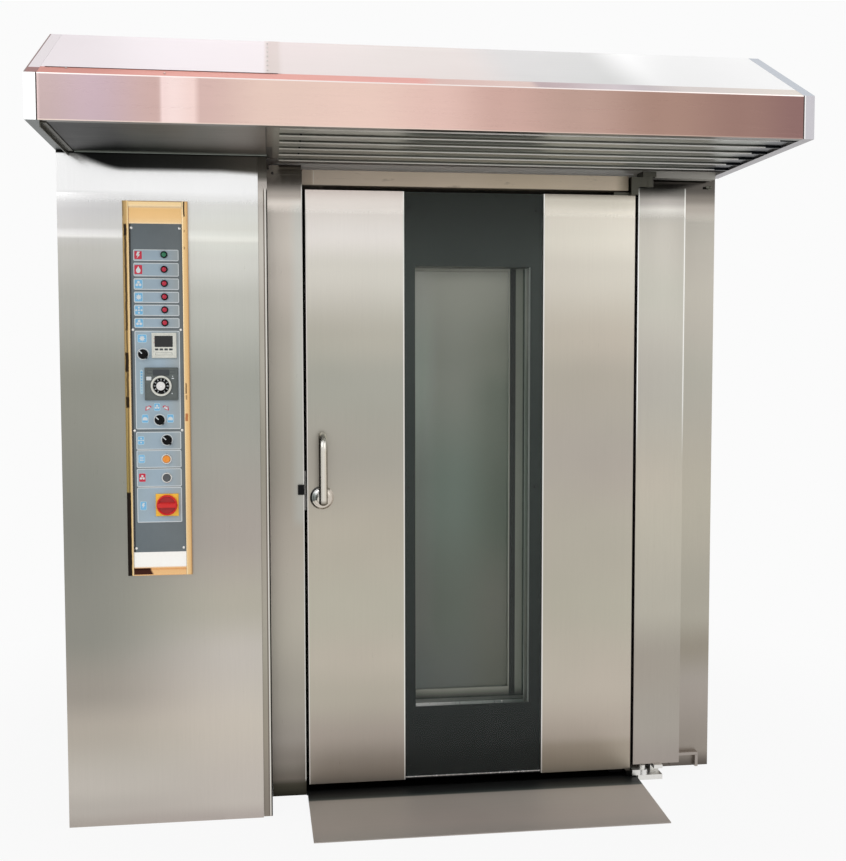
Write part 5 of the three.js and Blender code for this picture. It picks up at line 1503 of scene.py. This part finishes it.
SWITCH_DISC_DEPTH = 10 * MM
SWITCH_RIM = [(25.5, 0), (30.4, 0), (30.4, 2), (29.4, 3.2), (27, 3.2), (25.5, 1), (25.5, 0)]
SWITCH_STUD = [(0, 0), (2.2, 0), (1.6, 0.5), (0, 0.5)]


def make_main_switch():
    """Main switch: a raised rim, two dished halves, the grip across them, studs at the plate's corners."""
    x, z = switch_plate.x, switch_plate.z
    disc_face = switch_knob.front + SWITCH_DISC_DEPTH
    Piece("main_switch_rim", red_plastic, "main_switch").lathe(disc_face, SWITCH_RIM, x, z, 56).done()
    dishes = Piece("main_switch_dishes", deep_red_plastic, "main_switch")
    for side in (-1, 1):
        arc = [polar(0, 0, 1, math.pi * i / 16) for i in range(17)]
        dishes.on(disc_face, 0.5, [(x + 24 * MM * u, z + side * (8.6 * MM + 18 * MM * v)) for u, v in arc])
    dishes.done()
    grip = Piece("main_switch_grip", red_plastic, "main_switch")
    bar = rounded(*around(x, z, -27.4, 27.4, -5.6, 5.6), 2.6 * MM)
    grip.on(switch_knob.front, 1.6, bar).done(bevel=0.7 * MM)
    studs = Piece("main_switch_corners", yellow_plastic)
    left, right, low, high = switch_plate.inset(4 * MM)
    for stud_x in (left, right):
        for stud_z in (low, high):
            studs.lathe(switch_plate.front, SWITCH_STUD, stud_x, stud_z, 16)
    studs.done()


def make_trim_beads():
    """Rolled edges of the brass frame's rails."""
    beads = Piece("brass_beads", brass)
    for inset in (1.3 * MM, RAIL - 1.3 * MM):
        corners = rectangle(*trim.inset(inset))
        beads.tube([(x, trim.front + 0.2 * MM, z) for x, z in corners], 1.2 * MM, 8, closed=True)
    beads.done()


# ---------------------------------------------------------------- door
# Millimetres from the glass's left side, or its right side where negative, and above the door's foot.
GLASS_SCREWS = [(15, 1887), (-24, 1884), (10, 977), (-24, 973), (16, 45)]
LEDGE_SCREWS = (0.12, 0.30, 0.76)  # shares of the window's width
BEAD_RADIUS = 1.3 * MM


def make_door_details():
    """Bolts and foot strip of the outer glass; bright beads, ledge and its screws inside the window."""
    bolts = Piece("glass_bolts", black_oxide, "door")
    for offset, rise in GLASS_SCREWS:
        x = (glass.left if offset > 0 else glass.right) + offset * MM
        bolts.screw(x, left_leaf.bottom + rise * MM, glass.front, 4.2, 1.6)
    bolts.done()

    sill = Piece("glass_sill", fastener_steel, "door")
    sill.block(
        glass.left + 1 * MM, glass.right - 1 * MM, glass.front + 0.5 * MM, glass.back,
        glass.bottom - 4.5 * MM, glass.bottom - 1 * MM
    ).done(bevel=0.5 * MM)

    beads = Piece("window_beads", bead_steel, "door")
    for inset in (2 * MM, 14 * MM):
        x, y = WINDOW_RIGHT - inset, window.front + inset
        beads.tube([(x, y, WINDOW_LOW + 3 * MM), (x, y, WINDOW_HIGH - 3 * MM)], BEAD_RADIUS)
    beads.done()
    ledge = Piece("window_ledge", ledge_steel, "door")
    ledge.block(
        WINDOW_LEFT + 1 * MM, WINDOW_RIGHT - 16 * MM, window.front + 1 * MM, window.front + 14 * MM,
        WINDOW_LOW + 0.5 * MM, WINDOW_LOW + 12 * MM
    ).done(bevel=0.6 * MM)
    screws = Piece("window_ledge_screws", fastener_steel, "door")
    for share in LEDGE_SCREWS:
        x = WINDOW_LEFT + share * (WINDOW_RIGHT - WINDOW_LEFT)
        screws.screw(x, WINDOW_LOW + 8 * MM, window.front + 1 * MM, 2, 0.9)
    screws.done()


GRIP_RADIUS = 14.05 * MM  # just over the corners of the CAD tube, which is faceted
GRIP_BEND = 38 * MM
GRIP_X, GRIP_Y = handle.left + 19 * MM, handle.front + 14 * MM  # the upright tube's middle line
GRIP_LOW, GRIP_HIGH = rosette.z - 13 * MM, handle.top - 14 * MM
DOME_PROFILE = [(17.6, 0), (28, 0), (27, 0.8), (19, 1.4), (17.6, 1), (17.6, 0)]
LATCH_LOW, LATCH_HIGH = 0.942, 1.050  # of the latch's face plate
GAP_SHADE_CLEARANCE = 12 * MM  # the black shade strips beside the door stop this far from the latch's face plate


def make_handle():
    """Smooth skin of the tube, the rosette's raised ring, and the latch's face plate on the door's edge."""
    path = [(GRIP_X, GRIP_Y, GRIP_LOW), (GRIP_X, GRIP_Y, rosette.z + 40 * MM)]
    for i in range(11):
        angle = math.pi / 2 * i / 10
        y = GRIP_Y + GRIP_BEND * (1 - math.cos(angle))
        path.append((GRIP_X, y, GRIP_HIGH - GRIP_BEND * (1 - math.sin(angle))))
    grip = Piece("handle_grip", handle_steel, "handle")
    grip.tube(path, GRIP_RADIUS, 32)
    foot = [
        (0, GRIP_LOW - 7 * MM), (6 * MM, GRIP_LOW - 6 * MM), (11 * MM, GRIP_LOW - 3.5 * MM),
        (GRIP_RADIUS, GRIP_LOW + 1 * MM), (0, GRIP_LOW + 1 * MM)
    ]
    grip.turned(foot, GRIP_X, GRIP_Y, 32, axis="z").done(sharp=60)
    dome = Piece("rosette_dome", rosette_steel, "door")
    dome.lathe(rosette.front, DOME_PROFILE, rosette.x, rosette.z, 48).done()
    latch = Piece("latch_face_plate", latch_steel, "door")
    edge = rounded(left_leaf.front + 4 * MM, left_leaf.front + 26 * MM, LATCH_LOW, LATCH_HIGH, 2 * MM)
    latch.sheet(edge, left_leaf.left - 0.6 * MM, left_leaf.left, axis="x").done()


def make_gap_shades():
    """Painted shade: black strips in the gap beside the door, on the jamb and on the door's edge, clear of
    the latch.
    """
    jamb = Box("door_gasket").back
    jamb_shade = Piece("jamb_shade_strip", gap_shade_black)
    edge = Piece("door_edge_shade", gap_shade_black, "door")
    below, above = LATCH_LOW - GAP_SHADE_CLEARANCE, LATCH_HIGH + GAP_SHADE_CLEARANCE
    for low, high in ((left_leaf.bottom + 1 * MM, below), (above, left_leaf.top - 1 * MM)):
        front, back = left_leaf.front + 1 * MM, left_leaf.back - 2 * MM
        edge.block(left_leaf.left - 0.5 * MM, left_leaf.left, front, back, low, high)
    for low, high in ((left_leaf.bottom, below), (above, HEADER_FOOT - 0.5 * MM)):
        jamb_shade.block(STILE_EDGE + 0.2 * MM, STILE_EDGE + 9.5 * MM, jamb - 2 * MM, jamb, low, high)
    jamb_shade.done()
    edge.done()


# ---------------------------------------------------------------- hood
ROOF_RUN, ROOF_RISE = 387 * MM, 203 * MM  # of the hood's sloping sheets, from the fascia to the bend
ROOF_STUDS = [(-0.977, -1.0), (-0.722, -1.018)]  # two odd studs on the left sheet, in x and y
SEAM_RIVETS = 7


def roof_height(y):
    """Top of the sloping sheets over a place in y."""
    return FASCIA_TOP + ROOF_RISE / ROOF_RUN * (y - fascia.front)


def make_roof_details():
    """Cover strip over the roof's seam, its rivets, two studs, and a black strip of painted shadow at the
    sheet's foot.
    """
    seam = roof_left.right
    foot, bend = roof_left.front + 0.5 * MM, fascia.front + ROOF_RUN
    thick = 1.0 * MM
    top = bend - 1 * MM
    section = [
        (foot, roof_height(foot)), (top, roof_height(top)), (top, roof_height(top) + thick),
        (foot, roof_height(foot) + thick)
    ]
    Piece("roof_seam_cover", pale_steel).sheet(section, seam - 8 * MM, seam + 40 * MM, axis="x").done()
    rivets = Piece("roof_rivets", fastener_steel)
    for i in range(SEAM_RIVETS):
        y = foot + (0.08 + 0.14 * i) * (bend - foot)
        x, z = seam + 2 * MM, roof_height(y) + thick
        rivets.tube([(x, y, z - 0.5 * MM), (x, y, z + 1.2 * MM)], 2.4 * MM)
    for x, y in ROOF_STUDS:
        z = roof_height(y)
        rivets.tube([(x, y, z - 0.5 * MM), (x, y, z + 1 * MM)], 3 * MM)
    rivets.done()
    z = roof_height(foot)
    section = [
        (foot - 1.6 * MM, z - 0.4 * MM), (foot - 0.1 * MM, z - 0.4 * MM), (foot - 0.1 * MM, z + 0.9 * MM),
        (foot - 1.6 * MM, z + 0.4 * MM)
    ]
    # painted shadow: a black strip at the foot of the sloping sheet
    joint = Piece("roof_foot_shadow", black_oxide)
    joint.sheet(section, left_cap.right + 12 * MM, seam + 30 * MM, axis="x").done()


def make_soffit_details():
    """Dark angle in the corner of the left cap, and a bright bead along the cabinet."""
    under = soffit.bottom
    left = left_cap.right + 0.5 * MM
    section = [
        (left, under - 14 * MM), (left + 3 * MM, under - 14 * MM), (left + 3 * MM, under - 3 * MM),
        (left + 18 * MM, under - 3 * MM), (left + 18 * MM, under - 0.3 * MM), (left, under - 0.3 * MM)
    ]
    brace = Piece("soffit_angle", dark_steel)
    brace.sheet(section, fascia.front + 24 * MM, cabinet.front - 6 * MM).done(bevel=0.4 * MM)
    bead = Piece("soffit_rear_edge", bead_steel)
    bead.block(
        left_cap.right + 20 * MM, soffit.right, cabinet.front - 4 * MM, cabinet.front - 1 * MM,
        under - 4 * MM, under - 0.4 * MM
    ).done(bevel=0.5 * MM)


SLAT_COUNT, SLAT_PITCH = 5, 98 * MM


def make_grille_details():
    """Lip painted bright as a highlight along each slat's foot and along the rear rail, and a dark screw in
    each slat.
    """
    lips = Piece("slat_lips", slat_lip_steel)
    screws = Piece("slat_screws", black_oxide)
    left, right = grille.left + 55 * MM, grille.right - 48 * MM
    foot = grille.bottom - 0.6 * MM
    for i in range(SLAT_COUNT):
        y = grille.front + i * SLAT_PITCH
        lips.block(left, right, y - 1.0 * MM, y - 0.1 * MM, foot, grille.bottom + 3.2 * MM)
        screws.screw(left + 60 * MM, grille.bottom + 6 * MM, y, 2.4, 1.2)
    rear = grille.back - 9 * MM
    lips.block(left, right, rear, rear + 0.8 * MM, foot, grille.bottom + 2.6 * MM).done(bevel=0.2 * MM)
    screws.done()


def make_header_details():
    """Lip of the rail over the door and the strip's weld, both painted bright as highlights, and the bracket
    with its bolt on the left stile.
    """
    lip = Piece("rail_lip", slat_lip_steel)
    lip.block(
        rail.left + 4 * MM, header.right + 30 * MM, rail.front - 0.9 * MM, rail.front - 0.1 * MM,
        rail.bottom + 8 * MM, rail.bottom + 13 * MM
    ).done(bevel=0.2 * MM)
    weld = Piece("header_joint", slat_lip_steel)
    x = header.left + 36 * MM
    weld.block(
        x, x + 1.6 * MM, header.front - 0.4 * MM, header.front, HEADER_FOOT + 2 * MM, HEADER_FOOT + 45 * MM
    ).done()
    bracket = Piece("stile_bracket", frame_steel)
    face = stile.front - 1.6 * MM
    bracket.block(
        stile.left + 6 * MM, STILE_EDGE - 3 * MM, face, stile.front, stile.top - 31 * MM, stile.top
    ).done(bevel=0.4 * MM)
    Piece("frame_bolts", black_oxide).screw(stile.left + 17 * MM, stile.top - 27 * MM, face, 3.4, 2.4).done()


HOOK_PROFILE = [(0, 0), (7, 0), (7, 2), (4, 3), (4, 16), (3, 17), (0, 17)]


def make_strip_details():
    """Hook bolt at the head of the right-hand strip, and the angle with its web at its foot."""
    face = post.front
    x, z = post.right - 22 * MM, post.top - 31 * MM
    hook = Piece("hook_bolt", dark_steel).lathe(face, HOOK_PROFILE, x, z, 20)
    hook.block(x - 16 * MM, x + 4 * MM, face - 15 * MM, face - 11 * MM, z - 4 * MM, z + 4 * MM)
    hook.done(bevel=0.4 * MM)

    left, right = cover.right + 2 * MM, cover.right + 99 * MM
    front, back = face - 22 * MM, face - 0.4 * MM
    angle = Piece("floor_angle", cover_steel)
    angle.block(left, right, front, back, 44 * MM, 54 * MM)
    angle.block(right - 10 * MM, right, front, back, 3 * MM, 43.8 * MM).done(bevel=0.6 * MM)
    web = Piece("floor_angle_web", strip_steel)
    web.block(left, right - 10.4 * MM, face - 4 * MM, back, 6 * MM, 43.6 * MM).done()


# ---------------------------------------------------------------- sides and top
SIDE_SCREW_LOW, SIDE_SCREW_PITCH = 0.12, 0.36
ROOF_BOLT_START, ROOF_BOLT_PITCH = -0.24, 0.24
ROOF_COVER = (-0.30, 1.03)  # from the hood to the rear wall, in y
BOLT_COUNT = 6
FLANGE_REACH = 90 * MM  # from the gear motor's axis to its flange's bolts, along x and y
GEAR_FINS, FAN_FINS = 8, 13
FLUE_SKIRT = [(90.5, 0), (150, 0), (150, 2), (98, 30), (90.5, 32), (90.5, 0)]  # radius and height


def make_side_details():
    """Screws down the right wall, beside its joints and along its front."""
    wall = Box("right_wall")
    screws = Piece("side_screws", fastener_steel)
    beside_joints = [joint + side * 24 * MM for joint in SIDE_JOINTS for side in (-1, 1)]
    for y in (wall.front + 30 * MM, *beside_joints):
        for i in range(BOLT_COUNT):
            screws.screw(y, SIDE_SCREW_LOW + SIDE_SCREW_PITCH * i, wall.right, 3.2, 1.8, axis="x", out=1)
    screws.done()


def make_top_details():
    """Motors' fins, bands and skirt of the flue, band of the exhaust collar, covers and bolts of the roof."""
    gear, fan = Box("gear_motor"), Box("fan_motor")
    exchanger, collar = Box("heat_exchanger"), Box("exhaust_collar")
    roof = Box("roof_slab").top
    fins = Piece("motor_fins", machine_paint)
    for i in range(GEAR_FINS):
        low = gear.top - 24 * MM - 13 * MM * i
        fins.band(79, 86, low, low + 3.5 * MM, gear.x, gear.y)
    for i in range(FAN_FINS):
        low = fan.top - 30 * MM - 15 * MM * i
        fins.band(94, 101, low, low + 3.5 * MM, fan.x, fan.y)
    fins.done(bevel=0.6 * MM)
    flue = (fan.x, exchanger.back - 180 * MM)
    bands = Piece("flue_bands", fastener_steel)
    bands.band(89.5, 93, roof + 150 * MM, roof + 190 * MM, *flue)
    bands.band(89.5, 92, exchanger.top - 14 * MM, exchanger.top - 4 * MM, *flue)
    bands.turned([(radius * MM, roof + rise * MM) for radius, rise in FLUE_SKIRT], *flue, 48, axis="z")
    bands.band(69.5, 73, collar.back - 12 * MM, collar.back - 2 * MM, collar.x, collar.z, axis="y")
    bands.done(bevel=0.5 * MM)
    covers = Piece("roof_joint_covers", side_steel)
    bolts = Piece("roof_bolts", fastener_steel)
    for x in REAR_JOINTS:
        covers.block(x - 20 * MM, x + 20 * MM, *ROOF_COVER, roof, roof + 2 * MM)
        for i in range(BOLT_COUNT):
            y = ROOF_BOLT_START + ROOF_BOLT_PITCH * i
            bolts.screw(x, y, roof + 2 * MM, 5, 3, axis="z", out=1)
    covers.done(bevel=0.4 * MM)
    for side_x in (-1, 1):
        for side_y in (-1, 1):
            x, y = gear.x + side_x * FLANGE_REACH, gear.y + side_y * FLANGE_REACH
            bolts.screw(x, y, gear.top - 160 * MM, 6, 4, axis="z", out=1)
    bolts.done()


make_camera()
finish_cad_nodes()
make_studio()

make_rows()
make_signs()
make_lamps()
make_plate_screws()
make_controller()
make_timer()
make_selectors()
make_buttons()
make_main_switch()
make_trim_beads()
make_door_details()
make_handle()
make_roof_details()
make_soffit_details()
make_grille_details()
make_header_details()
make_strip_details()
make_gap_shades()
make_side_details()
make_top_details()
